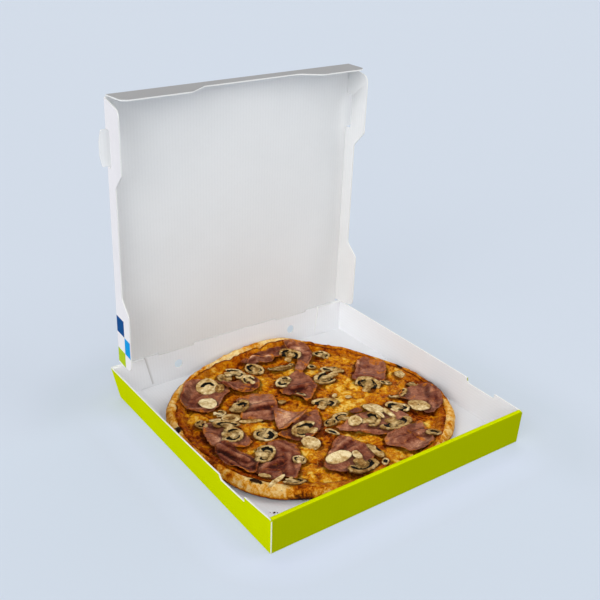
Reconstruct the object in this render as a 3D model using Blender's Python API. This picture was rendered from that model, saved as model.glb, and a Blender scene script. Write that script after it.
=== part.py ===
"""A pizza in its open takeaway box.

The box is folded from corrugated board: a tray with a rolled front wall, and a
lid that hinges on the back wall and carries three flaps of its own.  In the
tray lies a baked base with a raised rim, a layer of melted cheese on it, and
slices of ham and mushroom on the cheese.

Units are metres, with +Z up.  The origin is on the surface that the tray
stands on, under the middle of the tray.  +X runs along the hinge, +Y to the
back, where the hinge is.
"""

import math

import bmesh
import bpy
import numpy as np
from mathutils import Matrix, Vector, noise
from mathutils.bvhtree import BVHTree

MM = 0.001

# Board
BOARD = 1.5 * MM                # thickness of the corrugated board
GAP = 0.3 * MM                  # left between two solids that touch
CREASE_ROOM = 1.05 * MM         # from a crease's axis to the board that stays still

# Tray
TRAY_HALF = 165 * MM            # half of the square bottom
SIDE_HEIGHT = 41 * MM
END_HEIGHT = 42 * MM            # front and back walls
ROLL_DEPTH = 5 * MM             # the front wall is rolled over, so it is thick
ROLL_RADIUS = 2.3 * MM          # round top of the rolled wall
LEAN_LEFT = (1.0 * MM, 7.5 * MM)    # how far a side's top leans out, front and back
LEAN_RIGHT = (1.0 * MM, 4.5 * MM)
LEAN_FRONT = 2.3 * MM
LEAN_BACK = 4.0 * MM
LEAN_START = 130 * MM           # only what is farther out than this leans
NOTCH_CENTRE = -103 * MM        # vent notch in each side wall, along Y
NOTCH_LENGTH = 44 * MM
NOTCH_DEPTH = 6 * MM
VENT_X = 84.5 * MM              # round vents in the back wall
VENT_Z = 21 * MM
VENT_RADIUS = 5.5 * MM
GLUE_FLAP_TOP = 130 * MM        # inner end of the glued corner flaps, at the top
GLUE_FLAP_LOW = 123 * MM        # and near the floor

# Lid, measured from its hinge: s along the lid, w along a flap
HINGE_Y = TRAY_HALF + LEAN_BACK - BOARD / 2
HINGE_Z = END_HEIGHT + 1.1 * MM
LID_LEAN = math.radians(2)      # the open lid leans a little over the tray
LID_LENGTH = 325.5 * MM
LID_HALF = 161.5 * MM
FLAP_FOLD = math.radians(88)    # how far each flap is folded from flat
FLAP_WIDE = 36 * MM
FLAP_WAIST = 18.5 * MM
TONGUE_X = (62 * MM, 110 * MM)  # tongues of the lid that dip into the back wall
TONGUE_DEPTH = 3 * MM
TAB_S = (247.5 * MM, 288.5 * MM)    # vent tabs of the lid, beside the notches
TAB_REACH = 8.5 * MM
SIDE_CREASE = LID_HALF - BOARD / 2
FRONT_CREASE = LID_LENGTH - BOARD / 2

# Pizza
PIZZA_CENTRE = Vector((0, 5 * MM, 0))
BASE_BOTTOM = BOARD + GAP
BASE_THICK = 5 * MM
CHEESE_THICK = 3 * MM
AROUND = 60                     # points around the pizza
SURFACE_STEP = 1.5 * MM         # spacing of the record of what lies under a topping

# Outline of the base: angle from +X in degrees, then the edge's radius, the
# rim's width and the rim's height, in millimetres
RIM = (
    (0, 158, 10, 12), (15, 152, 10, 12.5), (23, 149.5, 10, 11.5), (32, 153, 10, 12),
    (40, 152.5, 10, 13), (50, 154.5, 11, 12.5), (58, 161, 13, 14), (66, 167.5, 15, 18.5),
    (74, 164.5, 16, 19.5), (84, 158, 15, 18.5), (95, 156, 14, 18.5), (105, 155.5, 12, 16.5),
    (119, 157.5, 12, 15.5), (132, 162, 14, 15.5), (146, 165.5, 17, 15.5), (158, 164.5, 16, 14.5),
    (175, 158.5, 14, 13), (197, 156, 15, 12.5), (208, 163, 19, 14), (222, 165, 21, 15),
    (236, 158.5, 19, 14), (255, 155, 15, 12.5), (280, 156, 14, 12.5), (300, 161, 15, 13),
    (312, 168, 17, 14.5), (325, 169, 16, 15), (336, 166, 13, 14.5), (348, 161, 10, 13.5),
)

# Ham: centre x, y, length, width in millimetres, then the turn in degrees
HAM = (
    (-96, 92, 62, 50, 35), (-38, 92, 42, 28, -25), (24, 138, 74, 25, 2),
    (66, 116, 60, 34, 70), (-48, 42, 58, 42, -35), (-26, -24, 52, 32, 30),
    (-38, 4, 46, 34, -40), (20, 48, 60, 40, 80), (113, 38, 56, 42, 35),
    (122, -46, 54, 42, -20), (42, -66, 84, 34, -28), (60, -108, 54, 40, 10),
    (-20, -98, 54, 46, -40), (-86, -66, 60, 48, 60), (-114, 8, 54, 32, 110),
    (-125, -30, 58, 26, 95),
)
HAM_THICK = 1.6 * MM
HAM_FOLD = 2.2 * MM             # how high its folds rise
HAM_AROUND = 16

# Mushrooms: shape, centre x, y, width across the cap and length in millimetres,
# then the way the cap points in degrees
MUSHROOMS = (
    ("button", -76, 108, 30, 29, -70), ("oval", -94, 77, 20, 28, 90),
    ("slice", -67, 49, 22, 24, -80), ("oval", -86, 37, 14, 22, -30),
    ("slice", -98, 26, 32, 22, 75), ("slice", -104, 4, 28, 25, -35),
    ("slice", -122, 43, 17, 14, 180), ("slice", -47, 117, 20, 18, 135),
    ("slice", -31, 120, 34, 24, 0), ("slice", -5, 115, 26, 18, 45),
    ("crescent", 27, 103, 40, 18, -95), ("slice", 51, 118, 30, 22, 35),
    ("slice", 8, 70, 24, 20, 125), ("slice", 88, 100, 22, 16, 45),
    ("slice", 75, 66, 24, 14, 80), ("slice", 59, 50, 27, 36, 180),
    ("slice", 91, 9, 32, 28, 40), ("slice", 139, -20, 17, 14, -90),
    ("slice", 22, 4, 30, 22, 45), ("slice", 20, -31, 24, 17, 110),
    ("button", 27, -48, 18, 18, 0), ("slice", 44, -56, 30, 22, -35),
    ("oval", 62, -38, 28, 24, 0), ("slice", 88, -50, 30, 24, 30),
    ("oval", 110, -63, 24, 27, 80), ("crescent", 107, -29, 28, 15, -90),
    ("slice", 62, -77, 42, 26, -92), ("slice", -30, -30, 34, 28, 120),
    ("oval", -39, -54, 20, 22, 90), ("slice", -71, -12, 28, 24, 215),
    ("slice", -92, -44, 34, 22, -40), ("oval", -31, -94, 17, 30, 0),
    ("slice", -18, -118, 40, 22, -88), ("oval", 11, -103, 13, 30, 80),
    ("slice", -95, -102, 27, 20, -85),
)
MUSHROOM_THICK = 2.8 * MM

# Colours, as linear RGB, and roughness
FINISHES = {
    "green_board": ((0.50, 0.60, 0.005), 0.45),
    "white_board": ((0.78, 0.78, 0.77), 0.7),
    "baked_dough": ((0.60, 0.35, 0.12), 0.7),
    "melted_cheese": ((0.65, 0.30, 0.04), 0.4),
    "ham": ((0.30, 0.12, 0.10), 0.45),
    "mushroom": ((0.50, 0.38, 0.20), 0.55),
}


# ---------------------------------------------------------------- scene helpers

def clear_scene():
    """Remove every object and leave an empty scene."""
    for thing in list(bpy.data.objects):
        bpy.data.objects.remove(thing, do_unlink=True)


def collection(name):
    """Return the collection of this name, made under the scene's own if missing."""
    found = bpy.data.collections.get(name)
    if found is None:
        found = bpy.data.collections.new(name)
        bpy.context.scene.collection.children.link(found)
    return found


def finish(name):
    """Return the Principled material of this name."""
    found = bpy.data.materials.get(name)
    if found is None:
        colour, roughness = FINISHES[name]
        found = bpy.data.materials.new(name)
        found.use_nodes = True
        shader = found.node_tree.nodes["Principled BSDF"]
        shader.inputs["Base Color"].default_value = (*colour, 1)
        shader.inputs["Roughness"].default_value = roughness
    return found


def add_mesh(name, mesh, material, group="pizza_in_box"):
    """Wrap a mesh in an object of this name, material and collection."""
    mesh.name = name
    thing = bpy.data.objects.new(name, mesh)
    collection(group).objects.link(thing)
    if material is not None:
        mesh.materials.append(finish(material))
    return thing


def add_empty(name, location, rotation, parent=None):
    """Add an empty that carries a folding piece on its crease."""
    empty = bpy.data.objects.new(name, None)
    empty.empty_display_size = 10 * MM
    empty.location = location
    empty.rotation_euler = rotation
    empty.parent = parent
    collection("creases").objects.link(empty)
    return empty


def to_mesh(bm):
    """Turn a bmesh into a mesh of triangles that face outwards, and free it."""
    bmesh.ops.recalc_face_normals(bm, faces=bm.faces)
    bmesh.ops.triangulate(bm, faces=bm.faces)
    mesh = bpy.data.meshes.new("shape")
    bm.to_mesh(mesh)
    bm.free()
    return mesh


def box_bmesh(low, high):
    """A box between two corners."""
    bm = bmesh.new()
    bmesh.ops.create_cube(bm, size=1)
    low, high = Vector(low), Vector(high)
    middle = (low + high) / 2
    for vert in bm.verts:
        vert.co = middle + Vector(a * b for a, b in zip(vert.co, high - low))
    return bm


def round_edges(bm, chosen, radius, segments):
    """Bevel the edges for which chosen(midpoint, direction) is true."""
    edges = []
    for edge in bm.edges:
        start, end = (v.co for v in edge.verts)
        if chosen((start + end) / 2, (end - start).normalized()):
            edges.append(edge)
    bmesh.ops.bevel(
        bm, geom=edges, offset=radius, segments=segments, profile=0.5, affect="EDGES"
    )


def rounded(corners):
    """Outline from corners (x, y, radius), each turned into an arc of its radius."""
    points = []
    count = len(corners)
    for i, (x, y, radius) in enumerate(corners):
        here = Vector((x, y))
        before = (Vector(corners[i - 1][:2]) - here).normalized()
        after = (Vector(corners[(i + 1) % count][:2]) - here).normalized()
        if radius == 0:
            points.append(here)
            continue
        half = before.angle(after) / 2
        reach = radius / math.tan(half)
        centre = here + (before + after).normalized() * radius / math.sin(half)
        first = here + before * reach - centre
        last = here + after * reach - centre
        turn = first.angle_signed(last)
        steps = max(2, round(abs(turn) / math.radians(24)))
        for step in range(steps + 1):
            points.append(centre + Matrix.Rotation(-turn * step / steps, 2) @ first)
    return points


def sheet(name, outline, thickness, material, group="pizza_in_box"):
    """Cut a flat outline out of a sheet, which lies in XY around z = 0."""
    curve = bpy.data.curves.new(name, "CURVE")
    curve.dimensions = "2D"
    curve.fill_mode = "BOTH"
    curve.extrude = thickness / 2
    spline = curve.splines.new("POLY")
    spline.points.add(len(outline) - 1)
    for point, place in zip(spline.points, outline):
        point.co = (place[0], place[1], 0, 1)
    spline.use_cyclic_u = True
    guide = bpy.data.objects.new(name + "_outline", curve)
    bpy.context.scene.collection.objects.link(guide)
    evaluated = guide.evaluated_get(bpy.context.evaluated_depsgraph_get())
    mesh = bpy.data.meshes.new_from_object(evaluated)
    bpy.data.objects.remove(guide, do_unlink=True)
    bpy.data.curves.remove(curve)
    bm = bmesh.new()
    bm.from_mesh(mesh)
    bpy.data.meshes.remove(mesh)
    bmesh.ops.remove_doubles(bm, verts=bm.verts, dist=0.01 * MM)
    return add_mesh(name, to_mesh(bm), material, group)


def turned_mesh(thing, matrix):
    """Move an object's own mesh by a matrix, and keep its faces pointing out."""
    thing.data.transform(matrix)
    if matrix.determinant() < 0:
        thing.data.flip_normals()
    return thing


def combine(target, operation, others):
    """Apply a Boolean with each of the other objects, and remove them."""
    for other in others:
        cut = target.modifiers.new(other.name, "BOOLEAN")
        cut.operation = operation
        cut.solver = "EXACT"
        cut.object = other
    evaluated = target.evaluated_get(bpy.context.evaluated_depsgraph_get())
    mesh = bpy.data.meshes.new_from_object(evaluated)
    target.modifiers.clear()
    target.data = mesh
    for other in others:
        bpy.data.objects.remove(other, do_unlink=True)


# ------------------------------------------------------------------------- tray

def outness(v):
    """Share of a wall's lean that a place takes: none in the middle of the tray."""
    return math.copysign(max(0, abs(v) - LEAN_START) / (TRAY_HALF - LEAN_START), v)


def lean(place):
    """Lean the straight walls out: a point moves out in step with its height."""
    rise = place.z / SIDE_HEIGHT
    back = min(1, max(0, (place.y + TRAY_HALF) / (2 * TRAY_HALF)))
    ease = 1 - (1 - back) ** 4
    at_front, at_back = LEAN_RIGHT if place.x > 0 else LEAN_LEFT
    side = at_front + (at_back - at_front) * ease
    end = LEAN_BACK * SIDE_HEIGHT / END_HEIGHT if place.y > 0 else LEAN_FRONT
    across = place.x + side * rise * outness(place.x)
    along = place.y + end * rise * outness(place.y)
    return Vector((across, along, place.z))


def tray_tools():
    """Cutters for the tray: its inside, low side walls, notches, vents, recesses."""
    wall = TRAY_HALF - BOARD
    past = TRAY_HALF + 20 * MM
    over = END_HEIGHT + 20 * MM
    tools = {
        "inside": ((-wall, -wall, BOARD), (wall, wall, over)),
        "low_sides": ((-past, -wall + 0.1 * MM, SIDE_HEIGHT), (past, wall - 0.3 * MM, over)),
        "low_front": ((-past, -past, END_HEIGHT - ROLL_RADIUS), (past, -wall + 0.1 * MM, over)),
    }
    for side, name in ((-1, "left"), (1, "right")):
        ends = sorted(side * (x + reach) for x, reach in zip(TONGUE_X, (-0.4 * MM, 0.4 * MM)))
        low = HINGE_Z - TONGUE_DEPTH - 0.5 * MM
        tools["recess_" + name] = ((ends[0], wall - BOARD, low), (ends[1], past, over))
    cutters = []
    for name, (low, high) in tools.items():
        cutters.append(add_mesh(name, to_mesh(box_bmesh(low, high)), None, "cutters"))
    notch = rounded((
        (NOTCH_CENTRE - NOTCH_LENGTH / 2, over, 0),
        (NOTCH_CENTRE - NOTCH_LENGTH / 2, SIDE_HEIGHT - NOTCH_DEPTH, 1.5 * MM),
        (NOTCH_CENTRE + NOTCH_LENGTH / 2 - 2 * MM, SIDE_HEIGHT - NOTCH_DEPTH, 4 * MM),
        (NOTCH_CENTRE + NOTCH_LENGTH / 2, SIDE_HEIGHT - 2 * MM, 0),
        (NOTCH_CENTRE + NOTCH_LENGTH / 2, over, 0),
    ))
    for side, name in ((-1, "left"), (1, "right")):
        cutter = sheet("notch_" + name, notch, 10 * MM, None, "cutters")
        upright = Matrix(((0, 0, 1, side * TRAY_HALF), (1, 0, 0, 0), (0, 1, 0, 0), (0, 0, 0, 1)))
        cutters.append(turned_mesh(cutter, upright))
        bm = bmesh.new()
        bmesh.ops.create_cone(
            bm, cap_ends=True, segments=20, radius1=VENT_RADIUS, radius2=VENT_RADIUS, depth=10 * MM
        )
        bmesh.ops.rotate(bm, verts=bm.verts, matrix=Matrix.Rotation(math.pi / 2, 3, "X"))
        bmesh.ops.translate(bm, verts=bm.verts, vec=(side * VENT_X, TRAY_HALF, VENT_Z))
        cutters.append(add_mesh("vent_" + name, to_mesh(bm), None, "cutters"))
    for cutter in cutters:
        cutter.hide_render = True
        cutter.display_type = "WIRE"
    return cutters


def tray_additions():
    """The rolled front wall and the two corner flaps glued inside the back wall."""
    outer = -TRAY_HALF + 0.05 * MM
    end = TRAY_HALF - BOARD - GAP
    roll = box_bmesh(
        (-end, outer, BOARD / 2), (end, -TRAY_HALF + ROLL_DEPTH, END_HEIGHT)
    )
    round_edges(
        roll,
        lambda middle, way: middle.z > END_HEIGHT - 0.1 * MM and abs(way.x) > 0.9,
        ROLL_RADIUS, 3,
    )
    pieces = [add_mesh("rolled_front", to_mesh(roll), None)]
    corner = TRAY_HALF - BOARD + 0.2 * MM
    flap = rounded((
        (corner, BOARD / 2, 0),
        (corner, SIDE_HEIGHT - 0.2 * MM, 0),
        (GLUE_FLAP_TOP, SIDE_HEIGHT - 0.2 * MM, 1 * MM),
        (GLUE_FLAP_LOW, 6 * MM, 1.5 * MM),
        (GLUE_FLAP_LOW + 20 * MM, BOARD / 2, 0),
    ))
    for side, name in ((-1, "left"), (1, "right")):
        piece = sheet("glue_flap_" + name, flap, BOARD + 0.1 * MM, None)
        middle = TRAY_HALF - BOARD - BOARD / 2 + 0.05 * MM
        upright = Matrix(((side, 0, 0, 0), (0, 0, -1, middle), (0, 1, 0, 0), (0, 0, 0, 1)))
        pieces.append(turned_mesh(piece, upright))
    return pieces


def build_tray():
    """The tray: a square box of board, cut and added to straight, then leaned out."""
    block = box_bmesh((-TRAY_HALF, -TRAY_HALF, 0), (TRAY_HALF, TRAY_HALF, END_HEIGHT))
    round_edges(
        block,
        lambda middle, way: middle.z < 0.1 * MM or (abs(way.z) > 0.9 and middle.y > 0),
        1.0 * MM, 2,
    )
    tray = add_mesh("tray", to_mesh(block), "green_board")
    combine(tray, "DIFFERENCE", tray_tools())
    combine(tray, "UNION", tray_additions())
    bm = bmesh.new()
    bm.from_mesh(tray.data)
    for station in np.linspace(-0.85, 0.85, 9):
        bmesh.ops.bisect_plane(
            bm, geom=bm.verts[:] + bm.edges[:] + bm.faces[:],
            plane_co=(0, TRAY_HALF * station, 0), plane_no=(0, 1, 0),
        )
    bmesh.ops.remove_doubles(bm, verts=bm.verts, dist=0.01 * MM)
    bmesh.ops.triangulate(bm, faces=bm.faces)
    for vert in bm.verts:
        vert.co = lean(vert.co)
    bm.to_mesh(tray.data)
    bm.free()


# -------------------------------------------------------------------------- lid

def both_sides(half):
    """Close an outline of corners (x, s, radius) with its mirror image in x."""
    return half + [(-x, s, radius) for x, s, radius in reversed(half)]


def panel_outline():
    """The lid's panel: straight sides with vent tabs, and two tongues at the hinge."""
    side = SIDE_CREASE - CREASE_ROOM
    top = FRONT_CREASE - CREASE_ROOM
    tab = LID_HALF + TAB_REACH
    near, far = TAB_S
    middle = (near + far) / 2
    inner, outer = TONGUE_X
    return rounded(both_sides([
        (inner, 0, 0), (inner, -TONGUE_DEPTH, 0.8 * MM),
        (outer, -TONGUE_DEPTH, 0.8 * MM), (outer, 0, 0),
        (side, 0, 0),
        (side, near, 0), (tab - 2.5 * MM, near, 1.5 * MM), (tab, middle - 8 * MM, 12 * MM),
        (tab, middle + 8 * MM, 12 * MM), (tab - 2.5 * MM, far, 1.5 * MM), (side, far, 0),
        (side, top, 0),
    ]))


def side_flap_outline():
    """A side flap in (w, s): wide at both ends, with a gap where the vent tab is."""
    room = 0.6 * MM
    gap = LID_HALF + TAB_REACH - SIDE_CREASE + room
    near, far = TAB_S
    return rounded((
        (0, 3.2 * MM, 0), (FLAP_WIDE, 7.5 * MM, 8 * MM),
        (FLAP_WIDE, 79 * MM, 4 * MM), (FLAP_WAIST, 94.5 * MM, 6 * MM),
        (FLAP_WAIST, 227.5 * MM, 6 * MM), (FLAP_WIDE, 246.5 * MM, 4 * MM),
        (FLAP_WIDE, 316.5 * MM, 9 * MM), (0, 322.8 * MM, 0),
        (0, far + room, 0), (gap, far + room, 2 * MM), (gap, near - room, 2 * MM),
        (0, near - room, 0),
    ))


def front_flap_outline():
    """The front flap in (x, w): its waist lies a little to the right."""
    end = LID_HALF - BOARD - 0.7 * MM
    return rounded((
        (-end, 0, 0), (end, 0, 0), (end - 2 * MM, FLAP_WIDE, 9 * MM),
        (96 * MM, FLAP_WIDE, 5 * MM), (72 * MM, FLAP_WAIST, 8 * MM),
        (-52 * MM, FLAP_WAIST, 8 * MM), (-76 * MM, FLAP_WIDE, 5 * MM),
        (-end + 2 * MM, FLAP_WIDE, 9 * MM),
    ))


def build_lid():
    """The lid's panel on its hinge, and a flap on each of its three free edges."""
    hinge = add_empty("lid_hinge", (0, HINGE_Y, HINGE_Z), (LID_LEAN, 0, 0))
    upright = Matrix.Rotation(math.pi / 2, 4, "X")
    panel = sheet("lid_panel", panel_outline(), BOARD, "white_board")
    turned_mesh(panel, upright).parent = hinge
    for side, name in ((-1, "left"), (1, "right")):
        crease = add_empty(
            "crease_" + name, (side * SIDE_CREASE, 0, 0), (0, 0, -side * FLAP_FOLD), hinge
        )
        flap = sheet("lid_flap_" + name, side_flap_outline(), BOARD, "white_board")
        turned_mesh(flap, Matrix.Scale(side, 4, (1, 0, 0)) @ upright).parent = crease
    crease = add_empty("crease_front", (0, 0, FRONT_CREASE), (FLAP_FOLD, 0, 0), hinge)
    flap = sheet("lid_flap_front", front_flap_outline(), BOARD, "white_board")
    turned_mesh(flap, upright).parent = crease


# ------------------------------------------------------------------------ pizza

def rim_values(angles):
    """Edge radius, rim width and rim height at each angle, in metres, smoothed."""
    fine = np.arange(720) / 2
    table = np.array(RIM, dtype=float)
    window = np.hanning(17)
    window /= window.sum()
    found = []
    for column in table.T[1:]:
        line = np.interp(fine, table[:, 0], column, period=360)
        wrapped = np.concatenate((line[-8:], line, line[:8]))
        smooth = np.convolve(wrapped, window, mode="valid")
        found.append(np.interp(np.degrees(angles), fine, smooth, period=360) * MM)
    return found


def ring(radius, angles, height):
    """Points around the pizza's centre at a radius and a height."""
    height = np.broadcast_to(height, angles.shape)
    across = PIZZA_CENTRE.x + radius * np.cos(angles)
    along = PIZZA_CENTRE.y + radius * np.sin(angles)
    return np.stack((across, along, height), axis=1)


def loft(rings, low_pole, high_pole):
    """Skin a closed solid over rings of points, from a lower pole to an upper one."""
    bm = bmesh.new()
    rows = []
    for points in rings:
        rows.append([bm.verts.new(point) for point in points])
    count = len(rows[0])
    low = bm.verts.new(low_pole)
    high = bm.verts.new(high_pole)
    for i in range(count):
        j = (i + 1) % count
        bm.faces.new((low, rows[0][j], rows[0][i]))
        bm.faces.new((rows[-1][i], rows[-1][j], high))
        for below, above in zip(rows, rows[1:]):
            bm.faces.new((below[i], below[j], above[j]))
            bm.faces.new((below[i], above[j], above[i]))
    return to_mesh(bm)


def cheese_swell(x, y):
    """How much the cheese rises and sinks at a place: low soft mounds."""
    broad = noise.noise(Vector((x, y, 0)) * 28)
    small = noise.noise(Vector((x, y, 0.3)) * 75)
    return (0.9 * broad + 0.5 * small) * MM


def build_base_and_cheese():
    """The baked base with its uneven rim, and the cheese that fills it."""
    angles = np.linspace(0, 2 * math.pi, AROUND, endpoint=False)
    radius, width, height = rim_values(angles)
    low = BASE_BOTTOM
    floor = low + BASE_THICK
    inside = radius - width
    slope = radius - 0.82 * width
    on_slope = floor + 0.45 * (low + height - floor)
    base = [
        ring(0.6 * radius, angles, low),
        ring(radius - 0.45 * width, angles, low),
        ring(radius - 0.12 * width, angles, low + 0.14 * height),
        ring(radius, angles, low + 0.42 * height),
        ring(radius - 0.12 * width, angles, low + 0.78 * height),
        ring(radius - 0.4 * width, angles, low + height),
        ring(radius - 0.64 * width, angles, low + 0.9 * height),
        ring(slope, angles, on_slope),
        ring(inside, angles, floor),
        ring(0.5 * inside, angles, floor),
    ]
    centre = np.array(PIZZA_CENTRE)
    mesh = loft(base, centre + (0, 0, low), centre + (0, 0, floor))
    pieces = [add_mesh("pizza_base", mesh, "baked_dough")]

    top = floor + GAP + CHEESE_THICK
    cheese = [
        ring(0.5 * inside, angles, floor + GAP),
        ring(inside, angles, floor + GAP),
        ring(slope, angles, on_slope + GAP),
        ring(slope, angles, on_slope + GAP + 1.0 * MM),
    ]
    for part in (0.98, 0.84, 0.69, 0.53, 0.36, 0.18):
        row = ring(part * inside, angles, top)
        row[:, 2] += [cheese_swell(x, y) for x, y, _ in row]
        cheese.append(row)
    mesh = loft(cheese, centre + (0, 0, floor + GAP), centre + (0, 0, top))
    pieces.append(add_mesh("pizza_cheese", mesh, "melted_cheese"))
    return pieces


class Surface:
    """The height of what already lies in the tray, on a square grid of places."""

    def __init__(self):
        self.line = np.arange(-TRAY_HALF, TRAY_HALF, SURFACE_STEP)
        self.height = np.zeros((len(self.line), len(self.line)))

    def window(self, x, y, reach):
        """Index ranges of the grid within reach of a place."""
        first = [int((v - reach + TRAY_HALF) / SURFACE_STEP) for v in (x, y)]
        last = [int((v + reach + TRAY_HALF) / SURFACE_STEP) + 2 for v in (x, y)]
        size = len(self.line)
        return [slice(max(0, a), min(size, b)) for a, b in zip(first, last)]

    def raise_near(self, i, j, height):
        """Raise one place of the grid, and the eight around it, to a height."""
        block = self.height[max(0, i - 1):i + 2, max(0, j - 1):j + 2]
        np.maximum(block, height, out=block)

    def add(self, thing):
        """Raise the surface to the top of one more object."""
        bpy.context.view_layer.update()
        places = [thing.matrix_world @ vert.co for vert in thing.data.vertices]
        for place in places:
            i, j = (round((v + TRAY_HALF) / SURFACE_STEP) for v in place[:2])
            self.raise_near(i, j, place.z)
        tree = BVHTree.FromPolygons(places, [face.vertices for face in thing.data.polygons])
        low = [min(place[k] for place in places) for k in (0, 1)]
        high = [max(place[k] for place in places) for k in (0, 1)]
        down = Vector((0, 0, -1))
        for i in np.nonzero((self.line >= low[0]) & (self.line <= high[0]))[0]:
            for j in np.nonzero((self.line >= low[1]) & (self.line <= high[1]))[0]:
                hit = tree.ray_cast(Vector((self.line[i], self.line[j], 1)), down)[0]
                if hit is not None:
                    self.raise_near(i, j, hit.z)

    def highest(self, x, y, reach):
        """The highest point within reach of a place."""
        across, along = self.window(x, y, reach)
        near = np.add.outer((self.line[across] - x) ** 2, (self.line[along] - y) ** 2)
        heights = self.height[across, along]
        return heights[near <= reach ** 2].max()

    def plane_over(self, centre, outline):
        """Lowest slightly tilted plane that clears what is under an outline.

        Returns its height at the centre and its two slopes.  Planes are fitted to
        the surface, each time giving more weight to the places that stand out.
        """
        reach = max(point.length for point in outline) + SURFACE_STEP
        across, along = self.window(centre.x, centre.y, reach)
        x, y = np.meshgrid(self.line[across] - centre.x, self.line[along] - centre.y,
                           indexing="ij")
        inside = covered(x, y, [point * (1 + SURFACE_STEP / point.length) for point in outline])
        x, y, z = x[inside], y[inside], self.height[across, along][inside]
        rows = np.stack((np.ones_like(x), x, y), axis=1)
        weight = np.ones_like(z)
        for _ in range(6):
            plane = np.linalg.lstsq(rows * weight[:, None], z * weight, rcond=None)[0]
            plane[1:] = np.clip(plane[1:], -0.22, 0.22)
            over = z - rows @ plane
            weight *= np.exp(over / (0.6 * MM)).clip(0.5, 2.0)
        return plane[0] + over.max() + GAP, plane[1], plane[2]


def covered(x, y, outline):
    """Which of the places lie inside a closed outline: the crossing-number rule."""
    inside = np.zeros(x.shape, dtype=bool)
    for start, end in zip(outline, outline[1:] + outline[:1]):
        if start.y == end.y:
            continue
        spans = (start.y > y) != (end.y > y)
        crossing = start.x + (y - start.y) * (end.x - start.x) / (end.y - start.y)
        inside ^= spans & (x < crossing)
    return inside


def build_ham(number, spec, surface):
    """A slice of ham that lies draped over what is under it, with soft folds."""
    x, y, length, width, turn = spec
    name = f"ham_{number:02d}"
    angles = np.linspace(0, 2 * math.pi, HAM_AROUND, endpoint=False)
    turn = math.radians(turn)
    bottom_rows, top_rows = [], []
    for part in (0.36, 0.7, 1.0):
        bottom, top = [], []
        for angle in angles:
            squareness = (abs(math.cos(angle)) ** 3 + abs(math.sin(angle)) ** 3) ** (-1 / 3)
            ragged = 1 + 0.10 * noise.noise(Vector((math.cos(angle), math.sin(angle), number)) * 1.7)
            along = part * ragged * squareness * length / 2 * MM * math.cos(angle)
            across = part * ragged * squareness * width / 2 * MM * math.sin(angle)
            px = x * MM + along * math.cos(turn) - across * math.sin(turn)
            py = y * MM + along * math.sin(turn) + across * math.cos(turn)
            bottom.append((px, py))
            top.append((px, py))
        bottom_rows.append(bottom)
        top_rows.append(top)
    reach = 0.15 * max(length, width) * MM

    def lies_at(px, py):
        return surface.highest(px, py, reach) + GAP

    def thick_at(px, py):
        fold = noise.noise(Vector((px, py, number * 0.013)) * 60)
        return HAM_THICK + HAM_FOLD * max(0, fold)

    rings = []
    for row in bottom_rows:
        rings.append([(px, py, lies_at(px, py)) for px, py in row])
    for row in reversed(top_rows):
        rings.append([(px, py, lies_at(px, py) + thick_at(px, py)) for px, py in row])
    centre = (x * MM, y * MM)
    low = (*centre, lies_at(*centre))
    high = (*centre, lies_at(*centre) + thick_at(*centre))
    ham = add_mesh(name, loft(rings, low, high), "ham")
    origin = Vector(low)
    ham.data.transform(Matrix.Translation(-origin))
    ham.location = origin
    return ham


def half_profile(shape):
    """Half outline of a mushroom slice, as shares of its half width and length.

    The cap's top is at +1 along the length, and the outline runs down one side.
    """
    if shape == "slice":
        cap = [(math.sin(a), 0.28 + 0.72 * math.cos(a)) for a in np.radians((0, 28, 56, 84, 105))]
        return cap + [(0.72, -0.12), (0.36, 0.0), (0.34, -0.55), (0.42, -0.88), (0.18, -1.0)]
    if shape == "crescent":
        cap = [(math.sin(a), math.cos(a)) for a in np.radians((0, 25, 50, 75, 100))]
        return cap + [(0.92, -0.75), (0.74, -0.45), (0.5, 0.12), (0.2, 0.4)]
    return [(math.sin(a), math.cos(a)) for a in np.radians((0, 26, 52, 77, 103, 128, 154))] + [(0, -1)]


def build_mushroom(number, spec, surface):
    """A slice of mushroom: a flat piece that rests, tilted, on what is under it."""
    shape, x, y, width, length, points_to = spec
    half = half_profile(shape)
    other = [(-u, v) for u, v in reversed(half) if u > 0]
    turn = math.radians(points_to) - math.pi / 2
    turned = Matrix.Rotation(turn, 2)
    flat = [(u * width / 2 * MM, v * length / 2 * MM) for u, v in half + other]
    outline = [turned @ Vector(place) for place in reversed(flat)]
    centre = Vector((x * MM, y * MM))
    height, slope_x, slope_y = surface.plane_over(centre, outline)
    name = f"mushroom_{number:02d}"
    piece = sheet(name, outline, MUSHROOM_THICK, "mushroom")
    tilt = Matrix.Identity(4)
    tilt[2][0], tilt[2][1] = slope_x, slope_y
    piece.data.transform(tilt @ Matrix.Translation((0, 0, MUSHROOM_THICK / 2)))
    piece.location = (centre.x, centre.y, height)
    return piece


def build_pizza():
    """Base, cheese, ham and mushrooms, each laid on what is already there."""
    surface = Surface()
    for thing in build_base_and_cheese():
        surface.add(thing)
    for number, spec in enumerate(HAM, 1):
        surface.add(build_ham(number, spec, surface))
    for number, spec in enumerate(MUSHROOMS, 1):
        surface.add(build_mushroom(number, spec, surface))


def main():
    clear_scene()
    build_tray()
    build_lid()
    build_pizza()


main()
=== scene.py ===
"""Looks of the pizza in its open takeaway box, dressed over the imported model.

Lengths inside the making functions are in millimetres, because slices and
board are small; a mesh is scaled to metres when it is made.  +X runs along the
hinge, +Y to the back, +Z up, and the tray stands on z = 0.
"""

import math

import bmesh
import bpy
import numpy as np
from mathutils import Matrix, Vector


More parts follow.
